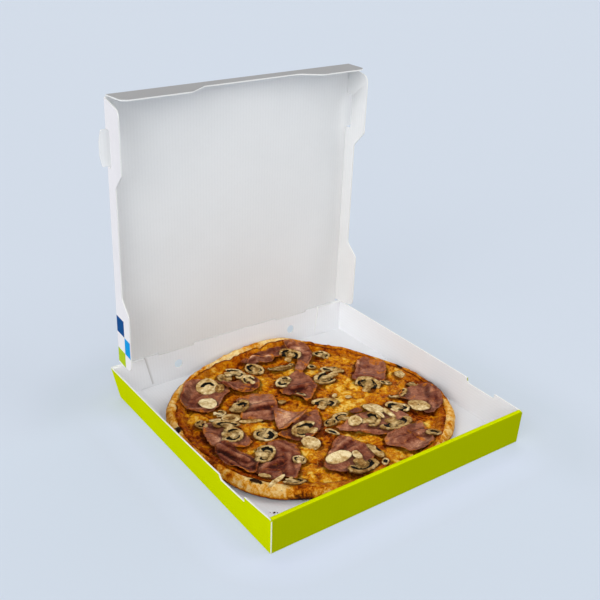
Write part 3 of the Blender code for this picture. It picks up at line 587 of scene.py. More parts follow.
# Slice: shape, x, y of its middle, width across the cap, length, the way its cap
# points in degrees, and the look of its gills.  The first 35 stand for CAD nodes.
MUSHROOMS = (
    ("button", -76, 108, 30, 29, -70, "dot"), ("oval", -94, 77, 20, 28, 90, "bare"),
    ("cap", -67, 49, 22, 24, -80, "patch"), ("oval", -86, 37, 14, 22, -30, "bare"),
    ("slice", -98, 26, 32, 22, 75, "arc"), ("cap", -104, 4, 28, 25, -35, "right"),
    ("cap", -122, 43, 17, 14, 180, "patch"), ("cap", -47, 117, 20, 18, 135, "brown"),
    ("slice", -31, 120, 34, 24, 0, "sides"), ("button", -5, 115, 26, 18, 45, "left"),
    ("crescent", 27, 103, 40, 18, -95, "tips"), ("slice", 51, 118, 30, 22, 35, "sides"),
    ("cap", 8, 70, 24, 20, 125, "patch"), ("cap", 88, 100, 22, 16, 45, "left"),
    ("cap", 75, 66, 24, 14, 80, "patch"), ("slice", 59, 50, 27, 36, 180, "sides"),
    ("slice", 91, 9, 32, 28, 40, "sides"), ("cap", 139, -20, 17, 14, -90, "patch"),
    ("slice", 22, 4, 30, 22, 45, "sides"), ("slice", 20, -31, 24, 17, 110, "arc"),
    ("button", 27, -48, 18, 18, 0, "faint"), ("slice", 44, -56, 30, 22, -35, "left"),
    ("oval", 62, -38, 28, 24, 0, "bare"), ("slice", 88, -50, 30, 24, 30, "sides"),
    ("oval", 110, -63, 24, 27, 80, "hole"), ("crescent", 107, -29, 28, 15, -90, "tips"),
    ("slice", 62, -77, 42, 26, -92, "sides"), ("slice", -30, -30, 34, 28, 120, "right"),
    ("oval", -39, -54, 20, 22, 90, "bare"), ("button", -71, -12, 28, 24, 215, "patch"),
    ("cap", -92, -44, 34, 22, -40, "left"), ("oval", -31, -94, 17, 30, 0, "bare"),
    ("slice", -18, -118, 40, 22, -88, "arc"), ("oval", 11, -103, 13, 30, 80, "strip"),
    ("slice", -95, -102, 27, 20, -85, "arc"),
    ("oval", -66, 97, 12, 15, 60, "brown"), ("slice", -92, 52, 15, 15, -40, "right"),
    ("oval", -88, 38, 8, 15, -20, "brown"), ("oval", -70, 19, 5, 28, -28, "brown"),
    ("slice", -26, 95, 16, 20, 100, "left"), ("oval", 60, 82, 8, 11, -20, "black"),
    ("oval", -18, 34, 7, 10, 0, "brown"), ("oval", 43, 12, 6, 8, 30, "brown"),
    ("oval", 55, 0, 7, 8, -40, "brown"), ("cap", 113, 1, 16, 9, 70, "patch"),
    ("button", 140, 6, 15, 14, 0, "ring"), ("cap", 4, -32, 15, 13, 60, "left"),
    ("oval", 57, -54, 7, 16, -75, "bare"), ("oval", 70, -57, 7, 20, -80, "bare"),
    ("oval", -6, -49, 8, 20, -70, "black"), ("cap", -67, -72, 15, 13, 60, "left"),
    ("oval", -110, -93, 5, 28, 22, "bare"), ("oval", -116, -80, 8, 14, -60, "brown"),
    ("oval", -13, -102, 11, 17, 75, "bare"), ("oval", 8, -124, 8, 12, 40, "black"),
    ("cap", 84, -116, 14, 18, -60, "patch"), ("oval", 9, 33, 6, 14, -70, "black"),
    ("oval", 82, 56, 9, 16, -10, "brown"), ("oval", 27, 100, 10, 22, -5, "brown"),
    ("oval", -104, 42, 8, 14, -40, "bare"),
)
MUSHROOM_THICK = 1.9

# Dark gills of each look, as arcs: from one angle to another, in degrees to the right of the
# way the cap points, the distance of their outer side from the middle of the cap, in shares
# of it, and how wide they are at the two ends
GILLS = {
    "bare": (), "brown": (), "faint": ((-180, 180, 0.58, 0.1, 0.1),),
    "arc": ((-118, 112, 0.72, 0.24, 0.2),),
    "sides": ((14, 138, 0.75, 0.1, 0.36), (-140, -16, 0.75, 0.38, 0.1)),
    "left": ((-146, 4, 0.77, 0.42, 0.12), (56, 130, 0.75, 0.1, 0.24)),
    "right": ((-4, 146, 0.77, 0.12, 0.42), (-132, -58, 0.75, 0.24, 0.1)),
    "patch": ((-172, -4, 0.72, 0.5, 0.26), (44, 120, 0.72, 0.1, 0.18)),
    "tips": ((-140, -78, 0.78, 0.22, 0.2), (74, 140, 0.78, 0.2, 0.22),
             (-40, 50, 0.56, 0.14, 0.14)),
    "dot": ((-220, -60, 0.62, 0.26, 0.26),),
    "hole": ((-180, 180, 0.08, 0.3, 0.3),),
    "strip": ((60, 120, 1.2, 0.9, 0.9),),
    "black": ((-180, 180, 0.62, 0.9, 0.9),),
    "ring": ((-180, 180, 0.62, 0.12, 0.12),),
}


def slice_outline(shape, count):
    """Outline of a mushroom slice in shares of half its width and half its length.

    A slice with its stem is a cap's arc, its turned-in lip and a short stem; a cap
    alone ends in a nearly flat under side; the others are ovals, a little egg-shaped.
    """
    if shape == "slice":
        half = [(math.sin(a), 0.2 + 0.8 * math.cos(a)) for a in np.radians((0, 24, 48, 72, 95))]
        half += [(0.97, -0.12), (0.88, -0.34), (0.7, -0.37), (0.52, -0.3), (0.36, -0.28),
                 (0.3, -0.46), (0.31, -0.74), (0.28, -0.94), (0.12, -1.0)]
    elif shape == "cap":
        half = [(math.sin(a), -0.1 + 1.1 * math.cos(a)) for a in np.radians((0, 24, 48, 72, 92))]
        half += [(0.95, -0.5), (0.74, -0.86), (0.4, -0.84), (0.12, -0.94)]
    else:
        half = [(math.sin(a) * (1 + 0.05 * math.cos(2 * a)), math.cos(a))
                for a in np.radians((0, 22, 45, 68, 92, 116, 140, 162, 180))]
    other = [(-u, v) for u, v in reversed(half) if u > 1e-6]
    return closed_curve(list(reversed(half + other)), count)


def crescent_rows(rings, around):
    """A bent strip of cap as rings of its cross-section, in shares: across, along, thickness.

    Its spine is an arc from horn to horn; its width swells in the middle, and its
    section is a superellipse.
    """
    turn = np.linspace(-1.9, 1.9, rings)[:, None]
    wide = 0.27 * np.sqrt(np.clip(1 - (turn / 2.02) ** 2, 0.02, 1)) + 0.03
    section = np.arange(around) / around * 2 * math.pi
    out, up = (np.sign(side) * np.abs(side) ** 0.6 for side in (np.cos(section), np.sin(section)))
    radius = 0.74 + out * wide
    return radius * np.sin(turn), radius * np.cos(turn) * 1.15 - 0.1, 0.5 - 0.5 * up + 0 * turn


def gill_dark(look, u, v):
    """How dark with gills each place is, from 0 to 1: the arcs of its look, with soft ends."""
    away = np.hypot(u, v / 0.9)
    angle = np.degrees(np.arctan2(u, v))
    dark = np.zeros_like(u)
    for start, end, outer, wide_start, wide_end in GILLS[look]:
        half = (end - start) / 2
        off = (angle - (start + end) / 2 + 180) % 360 - 180
        inner = outer - wide_start - (wide_end - wide_start) * np.clip(off / half * 0.5 + 0.5, 0, 1)
        arc = rise(inner - 0.04, inner + 0.04, away) * (1 - rise(outer - 0.04, outer + 0.03, away))
        if half < 179:
            arc = arc * (1 - rise(half - 12, half + 3, np.abs(off)))
        dark = np.maximum(dark, arc)
    return dark * {"faint": 0.25, "ring": 0.4}.get(look, 1.0)


def make_mushrooms(ground):
    """Slices of mushroom, each a thin slab that rests, tilted and curled, on the pizza.

    A slab is its outline shrunk towards its middle in rings, its edge rounded.  The
    flesh of the cap stands up as a band, the gills are sunk most, and the ribbed part
    between them and the stem is sunk less.  A plane is fitted to the ground under it,
    raised until four fifths of the ground there is below it, and let sink in a little.
    """
    around, steepest, ground_below, sinks = 80, 0.3, 0.8, 0.7
    heap = Heap()
    # How far each ring is from the middle, and the share of the thickness it is raised by
    shares = np.array((0.4, 0.8, 0.95, 1.0, 1.0, 0.985, 0.955, 0.91, 0.86, 0.81, 0.76, 0.71, 0.66,
                       0.61, 0.56, 0.5, 0.43, 0.35, 0.26, 0.17, 0.08))[:, None]
    level = np.array((0, 0, 0.08, 0.3, 0.62, 0.85, 0.97) + (1,) * 14)[:, None]
    turn = np.arange(around) / around * 2 * math.pi
    circle = np.cos(turn), np.sin(turn)
    for number, (shape, px, py, width, length, points_to, look) in enumerate(MUSHROOMS):
        lean, fat, curl_x, curl_y = (chance(number, k) - 0.5 for k in (11, 12, 13, 14))
        if shape == "crescent":
            u, v, up = crescent_rows(34, 24)
            skin = rise(0.84, 0.95, np.hypot(u, (v + 0.1) / 1.15))
        else:
            edge = slice_outline(shape, around)
            middle = 0.0, 0.1 if shape == "slice" else 0.0
            ragged = 1 + 0.035 * mottle(*circle, 0.625, number)
            ragged += 0.03 * mottle(*circle, 0.2, number + 5)
            u, v = (middle[k] + shares * (edge[:, k] - middle[k]) * ragged for k in (0, 1))
            up = np.broadcast_to(level, u.shape)
            skin = rise(0.93, 0.995, shares + 0.03 * mottle(u * 9, v * 9, 1, number))
            skin = skin * rise(-0.2, 0, v)
        if look == "bare":
            skin = skin * 0.5
        wobble = 0.07 * mottle(u * 3.2, v * 3.2, 1, number + 2)
        gills = gill_dark(look, u + wobble, v - wobble)
        inside = ribs = 0 * u
        if shape in ("slice", "cap") or look in ("left", "patch"):
            away = np.hypot(u, v / 0.9) + wobble
            streaks = mottle(np.arctan2(u, v) * 9, away * 1.5, 1, number)
            stem = (1 - rise(0.16, 0.28, np.abs(u + 0.3 * lean))) * (1 - rise(0.15, 0.4, v))
            inside = 1 - rise(0.58, 0.72, away)
            if shape != "slice":
                inside = np.maximum(inside, rise(0.3, 0.55, -v - 0.3 * np.abs(u)))
            inside = inside * (1 - stem)
            ribs = inside * np.clip(0.9 + 0.4 * streaks, 0, 1.15)
        thick = MUSHROOM_THICK * (0.7 + 0.3 * min(1, min(width, length) / 18)) * (1 + 0.5 * fat)
        a, b = (u + 0.35 * lean * v) * width / 2, v * length / 2
        turn = math.radians(points_to) - math.pi / 2
        x = px + a * math.cos(turn) - b * math.sin(turn)
        y = py + a * math.sin(turn) + b * math.cos(turn)
        bed = ground.at(x, y, ground.draped(0, 1))
        rows = np.stack((np.ones_like(x), x - px, y - py), axis=-1).reshape(-1, 3)
        plane = np.linalg.lstsq(rows, bed.ravel(), rcond=None)[0]
        tilt = plane[1:] + 0.16 * np.array((curl_x, curl_y))
        plane[1:] = np.clip(tilt, -steepest, steepest)
        plane[0] += np.quantile(bed.ravel() - rows @ plane, ground_below) - sinks
        lies = (rows @ plane).reshape(x.shape)
        size = min(1, min(width, length) / 20)
        bend = size * (2.4 * (curl_x + 0.2) * (u ** 2 - 0.35) + 2.0 * curl_y * (v ** 2 - 0.35)
                       + 2.4 * lean * u * v + 0.5 * mottle(u * 2, v * 2, 1, number + 8))
        grain = 0.08 * mottle(a, b, 1.7, number) + 0.16 * mottle(a, b, 5, number + 3)
        sunk = 1.25 * gills + 0.6 * inside - 0.25 * rise(0.66, 0.8, shares if inside.any() else 0)
        z = lies + bend + thick * up + (grain - size * sunk) * (up > 0.5)
        if shape != "crescent":
            clear = bed + 0.35 + 0.5 * (thick - 1) * (1 - gills)
            z = np.where((up > 0.5) & (shares < 0.9), np.maximum(z, clear), z)
        places = stacked(x, y, z)
        heap.add(places, {
            "gills": gills, "skin": skin, "ribs": ribs, "up": up,
            "tint": chance(number, 4) + {"brown": 1.1, "bare": -0.3}.get(look, 0.45),
        })
        ground.stamp(places[up > 0.5])
    return heap


# ----------------------------------------------------------------------- board

# the last finish is the tray's front faces, in a darker copy of the green: painted shade
INSIDE, OUTSIDE, CUT, SHADED_FRONT = 0, 1, 2, 3

FLUTES_PER_DM = 26.0

# How far from the tray's middle the outer and the inner sides of its walls lie at the least,
# how far back its front roll reaches, and above what height the roll shows the outer paper
WALL_OUTSIDE, WALL_INSIDE, ROLL_BACK, ROLL_TOP = 163.6, 162, -158, 37
FACING = 0.6        # a face looks along an axis when this share of its normal does

# Squares printed on the left flap: red, green, blue, then from and to up the lid, then from and
# to out from it, in millimetres
SQUARES = (
    (176, 200, 20, 5.5, 24.5, -5.0, 20.5), (0, 150, 218, 24.5, 46.0, 20.5, 36.5),
    (0, 72, 134, 46.0, 67.0, -5.0, 20.5),
)


def in_lid(places):
    """Places in millimetres as the upright lid sees them: x, y behind its middle, s up it."""
    x, y, z = (places - np.array(HINGE)).T
    lean_sin, lean_cos = math.sin(LID_LEAN), math.cos(LID_LEAN)
    return np.stack((x, y * lean_cos + z * lean_sin, z * lean_cos - y * lean_sin), axis=1)


def side_of(node, normal, place):
    """Which finish a face has, and which two axes its flutes and its length lie along.

    Normal and place are in the tray's axes, or in the lid's own for the lid.
    """
    nx, ny, nz = np.abs(normal)
    if node == "tray":
        x, y, z = place
        if nz > FACING:
            if z < 2 * BOARD:
                return (INSIDE if z > BOARD / 2 else OUTSIDE), 0, 1
            on_side = abs(x) > WALL_INSIDE
            if y < ROLL_BACK and abs(x) < WALL_INSIDE:
                return OUTSIDE, 0, 1
            return CUT, int(on_side), int(not on_side)
        if nx > FACING:
            outer = abs(x) > WALL_OUTSIDE and normal[0] * x > 0
            inner = abs(x) > WALL_INSIDE and normal[0] * x < 0
            return (OUTSIDE if outer else INSIDE if inner else CUT), 2, 1
        if y < 0:
            # the front wall's forward faces get the darker copy of the green, painted shade
            return (SHADED_FRONT if normal[1] < 0 else OUTSIDE if z > ROLL_TOP else INSIDE), 0, 2
        return (OUTSIDE if y > WALL_OUTSIDE and normal[1] > 0 else INSIDE), 0, 2
    if node == "lid_panel":
        if ny > FACING:
            return (OUTSIDE if normal[1] > 0 else INSIDE), 0, 2
        return CUT, 0 if nz > FACING else 2, 1
    if node == "lid_flap_front":
        if nz > FACING:
            return (OUTSIDE if normal[2] > 0 else INSIDE), 0, 1
        return CUT, 0 if ny > FACING else 1, 2
    if nx > FACING:
        return (OUTSIDE if normal[0] * place[0] > 0 else INSIDE), 1, 2
    return CUT, 1 if nz > FACING else 2, 0


def make_board(node, materials):
    """A board piece over its CAD node: doubles merged and flat faces joined.

    Each face gets a finish, and a map whose first number runs across the flutes and
    whose second runs along them, both in decimetres.
    """
    bm = bmesh.new()
    bm.from_mesh(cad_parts[node].data)
    bmesh.ops.remove_doubles(bm, verts=bm.verts, dist=2e-6)
    bmesh.ops.dissolve_limit(bm, angle_limit=math.radians(0.3), verts=bm.verts, edges=bm.edges)
    mesh = bpy.data.meshes.new(node + "_board")
    bm.to_mesh(mesh)
    bm.free()
    places = mesh_points(mesh)
    turned = places if node == "tray" else in_lid(places)
    layer = mesh.uv_layers.new(name="flutes")
    lean_back = Matrix.Rotation(-LID_LEAN, 3, "X")
    for face in mesh.polygons:
        normal = face.normal if node == "tray" else lean_back @ face.normal
        corners = turned[list(face.vertices)]
        finish, across, along = side_of(node, normal, corners.mean(axis=0))
        face.material_index = finish
        flat = corners[:, (across, along)] / 100
        if finish == CUT:
            flat[:, 1] = (corners[:, along] - corners[:, along].min()) / BOARD
        for loop, value in zip(face.loop_indices, flat):
            layer.data[loop].uv = value
    for material in materials:
        mesh.materials.append(material)
    return placed(node + "_board", mesh)


# ------------------------------------------------------------------- materials

def linear(*colour):
    """Linear colour with its alpha, from red, green and blue as 0 to 255 on a screen."""
    shares = (c / 255 for c in colour)
    return (*(c / 12.92 if c < 0.043 else ((c + 0.055) / 1.055) ** 2.4 for c in shares), 1)


def step(tree, kind, *values, out=0, named=None, **settings):
    """Add a shader node with its settings and its inputs, in order or named; give one output."""
    node = tree.nodes.new("ShaderNode" + kind)
    for key, value in settings.items():
        setattr(node, key, value)
    for key, value in {**dict(enumerate(values)), **(named or {})}.items():
        if isinstance(value, Flow):
            tree.links.new(value.socket, node.inputs[key])
        else:
            node.inputs[key].default_value = value
    return Flow(node.outputs[out])


class Flow:
    """What comes out of a shader node.  Sums, differences and products add Math nodes."""

    def __init__(self, socket):
        self.socket, self.tree = socket, socket.id_data

    def into(self, kind, *values, **settings):
        """Add a node that this is the first input of."""
        return step(self.tree, kind, self, *values, **settings)

    def __add__(self, other):
        return self.into("Math", other, operation="ADD")

    def __sub__(self, other):
        return self.into("Math", other, operation="SUBTRACT")

    def __mul__(self, other):
        return self.into("Math", other, operation="MULTIPLY")

    def __abs__(self):
        return self.into("Math", operation="ABSOLUTE")

    def stretch(self, low, high, to_low=0.0, to_high=1.0):
        """Stretch a value from one range to another, with soft ends, and keep it inside."""
        return self.into("MapRange", low, high, to_low, to_high, interpolation_type="SMOOTHSTEP")

    def sway(self, amount):
        """Noise as a sway from −amount to amount."""
        return self.stretch(0.3, 0.7, -amount, amount)

    def axis(self, k):
        """x, y or z of a place."""
        return self.into("SeparateXYZ", out=k)

    def noise(self, scale, detail=3.0, rough=0.55, warp=0.0):
        """Noise from 0 to 1 over a place, at a scale per metre."""
        return step(self.tree, "TexNoise", named={
            "Vector": self, "Scale": scale, "Detail": detail, "Roughness": rough,
            "Distortion": warp})

    def between(self, first, second):
        """A colour between two, with this as the share of the second: inputs 6 and 7."""
        return step(self.tree, "Mix", named={0: self, 6: first, 7: second}, out=2, data_type="RGBA")

    def shades(self, *stops):
        """Colours along a value: each stop is its place, then red, green and blue on a screen."""
        output = self.into("ValToRGB")
        points = output.socket.node.color_ramp.elements
        while len(points) < len(stops):
            points.new(1.0)
        for point, (place, *colour) in zip(points, stops):
            point.position = place
            point.color = linear(*colour)
        return output


def painted(colour, *coats):
    """A colour under coats of others, each given as its share and its colour."""
    for share, coat in coats:
        colour = share.between(colour, coat if isinstance(coat, Flow) else linear(*coat))
    return colour


class Look:
    """A material in the making: its Principled shader, and its place, Object coordinates."""

    def __init__(self, name, roughness, shine):
        self.material = bpy.data.materials.new(name)
        self.material.use_nodes = True
        self.tree = self.material.node_tree
        self.inputs = self.tree.nodes["Principled BSDF"].inputs
        self.inputs["Roughness"].default_value = roughness
        self.inputs["Specular IOR Level"].default_value = shine
        self.place = step(self.tree, "TexCoord", out=3)

    def value(self, name):
        """A named value that the mesh carries."""
        return step(self.tree, "Attribute", attribute_name=name, out=2)

    def feed(self, key, flow):
        """Link something to an input of the shader."""
        self.tree.links.new(flow.socket, self.inputs[key])

    def finish(self, colour, height, strength, depth):
        """Feed the shader its colour and its bumps, and give the material."""
        self.feed("Base Color", colour)
        self.feed("Normal", step(self.tree, "Bump", named={
            "Strength": strength, "Distance": depth, "Height": height}))
        return self.material


def baked_material():
    """Baked dough: pale flour, golden and brown by the mesh's values, black blisters."""
    look = Look("baked_dough_look", 0.62, 0.03)
    fine = look.place.noise(520, 4, 0.65)
    middle = look.place.noise(170, 4, 0.6, 0.5)
    broad = look.place.noise(60, 3, 0.6, 0.4)
    freckles = look.place.noise(330, 2).stretch(0.63, 0.73, 0, 0.5)
    brown = look.value("browned") + broad.sway(0.26) + middle.sway(0.26) + fine.sway(0.17)
    burnt = look.value("burnt") + middle.stretch(0.3, 0.7, -0.25, 0.2)
    look.feed("Roughness", fine.stretch(0.2, 0.8, 0.5, 0.75))
    return look.finish(painted(
        ((brown + 0.35) * 0.55).shades(
            (0.0, 240, 214, 150), (0.24, 228, 184, 110), (0.42, 214, 146, 36),
            (0.58, 184, 98, 4), (0.76, 120, 48, 0), (1.0, 54, 18, 0)),
        (look.value("sauced") * middle.stretch(0.25, 0.6, 0.45, 0.95),
         middle.shades((0.34, 84, 22, 0), (0.5, 156, 68, 0), (0.66, 208, 122, 4))),
        (burnt.stretch(0.25, 0.8), (40, 20, 8)),
        (freckles, (120, 58, 18)),
    ), fine + middle, 0.5, 0.0011)


def cheese_material():
    """Melted cheese over sauce: yellow pools, pale strings, orange oil, brown crevices; painted
    shade by toppings.
    """
    look = Look("melted_cheese_look", 0.4, 0.025)
    broad = look.place.noise(42, 3, 0.55, 0.6)
    middle = look.place.noise(105, 3, 0.5, 0.9)
    fine = look.place.noise(300, 2, 0.5, 0.6)
    grain = look.place.noise(560, 2, 0.5)
    thread = look.place.noise(150, 2, 0.5, 1.6)
    bright = look.value("bright")
    richness = (look.value("cheesy") * 0.2 + bright * 0.3 - look.value("low") * 0.12
                + broad.sway(0.2) + middle.sway(0.24) + fine.sway(0.13) + grain.sway(0.05) + 0.27)
    strings = abs(thread - 0.52).stretch(0, 0.045, 1, 0)
    crevices = abs(middle - 0.44).stretch(0, 0.03, 0.6, 0)
    toasted = look.value("toasted") * middle.stretch(0.55, 0.66) * fine.stretch(0.44, 0.6)
    look.feed("Roughness", (look.value("oily") + fine).stretch(0.4, 1.4, 0.5, 0.22))
    return look.finish(painted(
        richness.shades(
            (0.0, 92, 28, 0), (0.14, 132, 52, 0), (0.3, 166, 80, 0), (0.48, 186, 104, 0),
            (0.66, 204, 128, 0), (0.82, 222, 158, 26), (0.98, 234, 192, 90)),
        (strings * (bright + fine).stretch(0.4, 0.9, 0, 0.45), (230, 172, 72)),
        (crevices * fine.stretch(0.4, 0.56), (136, 52, 0)),
        (toasted * 0.42, (122, 44, 0)),
        (look.value("at_edge") * broad.stretch(0.3, 0.6, 0.6, 0.95),
         (middle * 0.6 + fine * 0.4).shades(
             (0.36, 84, 24, 0), (0.5, 144, 56, 0), (0.64, 194, 104, 0))),
        # painted shade beside higher pieces, weaker where the cheese ends at its border
        (look.value("beside") * look.value("ending").stretch(0, 1, 0.66, 0.12), (50, 13, 0)),
    ), middle + fine, 0.7, 0.0022)


def ham_material():
    """Baked ham: muted brown-pink flesh, darker places, pale fat, a toasted rim; painted shade and
    highlights.
    """
    look = Look("ham_look", 0.42, 0.08)
    broad = look.place.noise(55, 3, 0.6, 0.6)
    middle = look.place.noise(160, 4, 0.62, 0.4)
    fine = look.place.noise(520, 4, 0.6)
    tone = (look.value("tone") * 0.24 - look.value("dark_places_and_shade") * 0.4 + look.value("pale") * 0.3
            + broad.sway(0.14) + middle.sway(0.11) + fine.sway(0.08) + 0.56)
    look.feed("Roughness", middle.stretch(0.3, 0.7, 0.3, 0.5))
    return look.finish(painted(
        tone.shades(
            (0.0, 50, 10, 0), (0.2, 94, 34, 14), (0.42, 124, 66, 44), (0.6, 148, 90, 64),
            (0.8, 182, 124, 94), (1.0, 226, 178, 138)),
        (look.value("rimmed") * middle.stretch(0.3, 0.6, 0.1, 0.85),
         fine.shades((0.3, 120, 48, 4), (0.7, 200, 116, 40))),
        ((look.value("covered") + middle.sway(0.5)).stretch(0.2, 0.95, 0, 0.8),
         fine.shades((0.3, 160, 70, 0), (0.7, 216, 130, 4))),
        # painted shade beside higher pieces
        (look.value("beside") * 0.5, (44, 10, 2)),
    ), middle + fine, 0.5, 0.0014)


def mushroom_material():
    """Cooked mushroom: cream flesh, brown skin, olive ribs, near-black gills; painted shade on its
    sides.
    """
    look = Look("mushroom_look", 0.5, 0.08)
    broad = look.place.noise(100, 3, 0.55, 0.5)
    middle = look.place.noise(280, 3, 0.5, 0.4)
    fine = look.place.noise(800, 3, 0.6)
    specks = look.place.noise(640, 2).stretch(0.67, 0.73, 0, 0.5)
    brown = (broad.stretch(0.35, 0.7, -0.14, 0.3) + middle.sway(0.15) + fine.sway(0.05)
             + look.value("tint") * 0.26 + 0.12)
    look.feed("Roughness", fine.stretch(0.2, 0.8, 0.42, 0.62))
    return look.finish(painted(
        brown.shades(
            (0.0, 240, 220, 172), (0.25, 212, 182, 126), (0.5, 178, 140, 80),
            (0.75, 136, 94, 40), (1.0, 88, 52, 14)),
        (look.value("ribs") * middle.stretch(0.3, 0.7, 0.6, 1.0),
         middle.shades((0.35, 142, 112, 60), (0.65, 76, 52, 18))),
        # painted shade: the sides and underside of each slice are darker
        (look.value("up").stretch(0.2, 0.9, 0.75, 0), (110, 74, 30)),
        (look.value("skin") * middle.stretch(0.3, 0.6, 0.5, 1.0), (92, 58, 20)),
        ((look.value("gills") + middle.sway(0.15)).stretch(0.14, 0.5), (12, 8, 2)),
        (specks, (88, 52, 20)),
    ), fine + middle, 0.4, 0.001)


def flute_lines():
    """Node group: faint lines over a board's flutes, from its flute map.

    Gives a soft wave, 1 over the crest of a flute and 0 between two, broken by noise.
    """
    group = bpy.data.node_groups.new("flute_lines", "ShaderNodeTree")
    for name, way in (("Pitch per dm", "INPUT"), ("Wave", "OUTPUT"), ("Fibre", "OUTPUT")):
        group.interface.new_socket(name, in_out=way, socket_type="NodeSocketFloat")
    start, end = (group.nodes.new("NodeGroup" + kind) for kind in ("Input", "Output"))
    lie = step(group, "UVMap", uv_map="flutes")
    angle = lie.axis(0) * Flow(start.outputs[0]) * (2 * math.pi)
    wave = angle.into("Math", operation="SINE").into("Math", 0.5, 0.5, operation="MULTIPLY_ADD")
    fibre = lie.into("VectorMath", (1.0, 0.12, 1.0), operation="MULTIPLY").noise(160, 3, 0.6)
    for flow, socket in zip((wave * fibre.stretch(0.2, 0.7, 0.5, 1), fibre), end.inputs):
        group.links.new(flow.socket, socket)
    return group


def board_material(name, colour, roughness, flutes, depth=0.06, shine=0.04, squares=(),
                   worn=False, shaded=False):
    """A side of the board: its colour, a little uneven, over faint flute lines.

    Depth is how strongly the flutes stand out, and shine how much it reflects.
    Squares printed on it cover the part of its map between their four sides.  A worn
    one shows white paper along the upright corner at its left end.  A shaded one is
    darker on the back wall beside the edge of the left glued corner flap.
    """
    look = Look(name, roughness, shine)
    wave = step(look.tree, "Group", FLUTES_PER_DM, node_tree=flutes)
    fibre = Flow(wave.socket.node.outputs["Fibre"])
    cloud = look.place.noise(14, 3)
    share = cloud.stretch(0.3, 0.7, 0, 0.4) + fibre.stretch(0.3, 0.7, 0, 0.25) + wave * 0.34
    coat = share.between((*colour, 1), (*(c * 0.93 for c in colour), 1))
    x, y, z = (look.place.axis(k) for k in range(3))
    across, along = (step(look.tree, "UVMap", uv_map="flutes").axis(k) for k in (0, 1))
    for red, green, blue, low, high, near, far in squares:
        up, out = (value.into("Math", (start + end) / 200, (end - start) / 200, operation="COMPARE")
                   for value, start, end in ((along, low, high), (across, -far, -near)))
        coat = painted(coat, (up * out, (red, green, blue)))
    if worn:
        leaning = x + z * 0.023 + fibre * 0.0006
        coat = painted(coat, (leaning.stretch(-0.1639, -0.1630, 0.9, 0), (236, 236, 226)))
    if shaded:
        past_edge = x * -1.0 - z * 0.2012 - 0.12179
        shade = past_edge.stretch(-0.0045, -0.0002, 0, 0.42)
        shade = shade * past_edge.stretch(-0.0002, 0.0001, 1, 0)
        on_wall = y.stretch(0.158, 0.160) * z.stretch(0.003, 0.006)
        coat = painted(coat, (shade * on_wall, (116, 110, 102)))
    return look.finish(coat, wave, depth, 0.0004)


# ----------------------------------------------------------------- the dressing

def dress():
    """Make every piece, ride it on its body and hide the CAD nodes it stands for."""
    flutes = flute_lines()
    white = board_material("white_liner", (0.81, 0.82, 0.82), 0.72, flutes)
    tray_white = board_material("tray_liner", (0.835, 0.845, 0.865), 0.72, flutes, shaded=True)
    white_out = board_material("white_outside", (0.85, 0.82, 0.83), 0.6, flutes)
    green = board_material("green_outside", (0.575, 0.655, 0), 0.5, flutes, 0.04, 0.0)
    # the tray's front faces: a darker copy of the green, painted shade
    green_front_painted_shade = board_material("green_front_painted_shade", (0.35, 0.40, 0), 0.5, flutes, 0.04, 0.0, worn=True)
    printed = board_material("printed_outside", (0.85, 0.82, 0.83), 0.6, flutes, squares=SQUARES)
    # the front flap's outside: white board given a dark grey as painted shade
    painted_shade_grey = board_material("grey_outside", (0.36, 0.36, 0.365), 0.7, flutes)
    cut = board_material("cut_edge", (0.82, 0.82, 0.80), 0.8, flutes)
    outsides = {"tray": green, "lid_flap_left": printed, "lid_flap_front": painted_shade_grey}
    bodies = {"tray": "tray_with_pizza", "lid_panel": "lid", "lid_flap_left": "flap_left",
              "lid_flap_right": "flap_right", "lid_flap_front": "flap_front"}
    for node, body in bodies.items():
        inside = tray_white if node == "tray" else white
        board = make_board(node, (inside, outsides.get(node, white_out), cut, green_front_painted_shade))
        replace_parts(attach(board, body), node)

    ground = Ground()
    base, outline = make_base(ground)
    cheese = make_cheese(ground, outline)
    ham = make_ham(ground)
    mushrooms = make_mushrooms(ground)
    # cheese and ham get painted shade where they lie below what is heaped beside them
    for heap in (cheese, ham):
        heap.note_shade_beside(ground)
    pieces = (
        (base.make("baked_base", baked_material()), ["pizza_base"], "baked_dough"),
        (cheese.make("melted_cheese", cheese_material()), ["pizza_cheese"], "melted_cheese"),
        (ham.make("ham_slices", ham_material()), [f"ham_{k:02d}" for k in range(1, 17)], "ham"),
        (mushrooms.make("mushroom_slices", mushroom_material()),
         [f"mushroom_{k:02d}" for k in range(1, 36)], "mushroom"),
    )
    for piece, nodes, slot in pieces:
        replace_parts(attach(piece, "tray_with_pizza"), *nodes)


# --------------------------------------------------------- stage, lights, camera

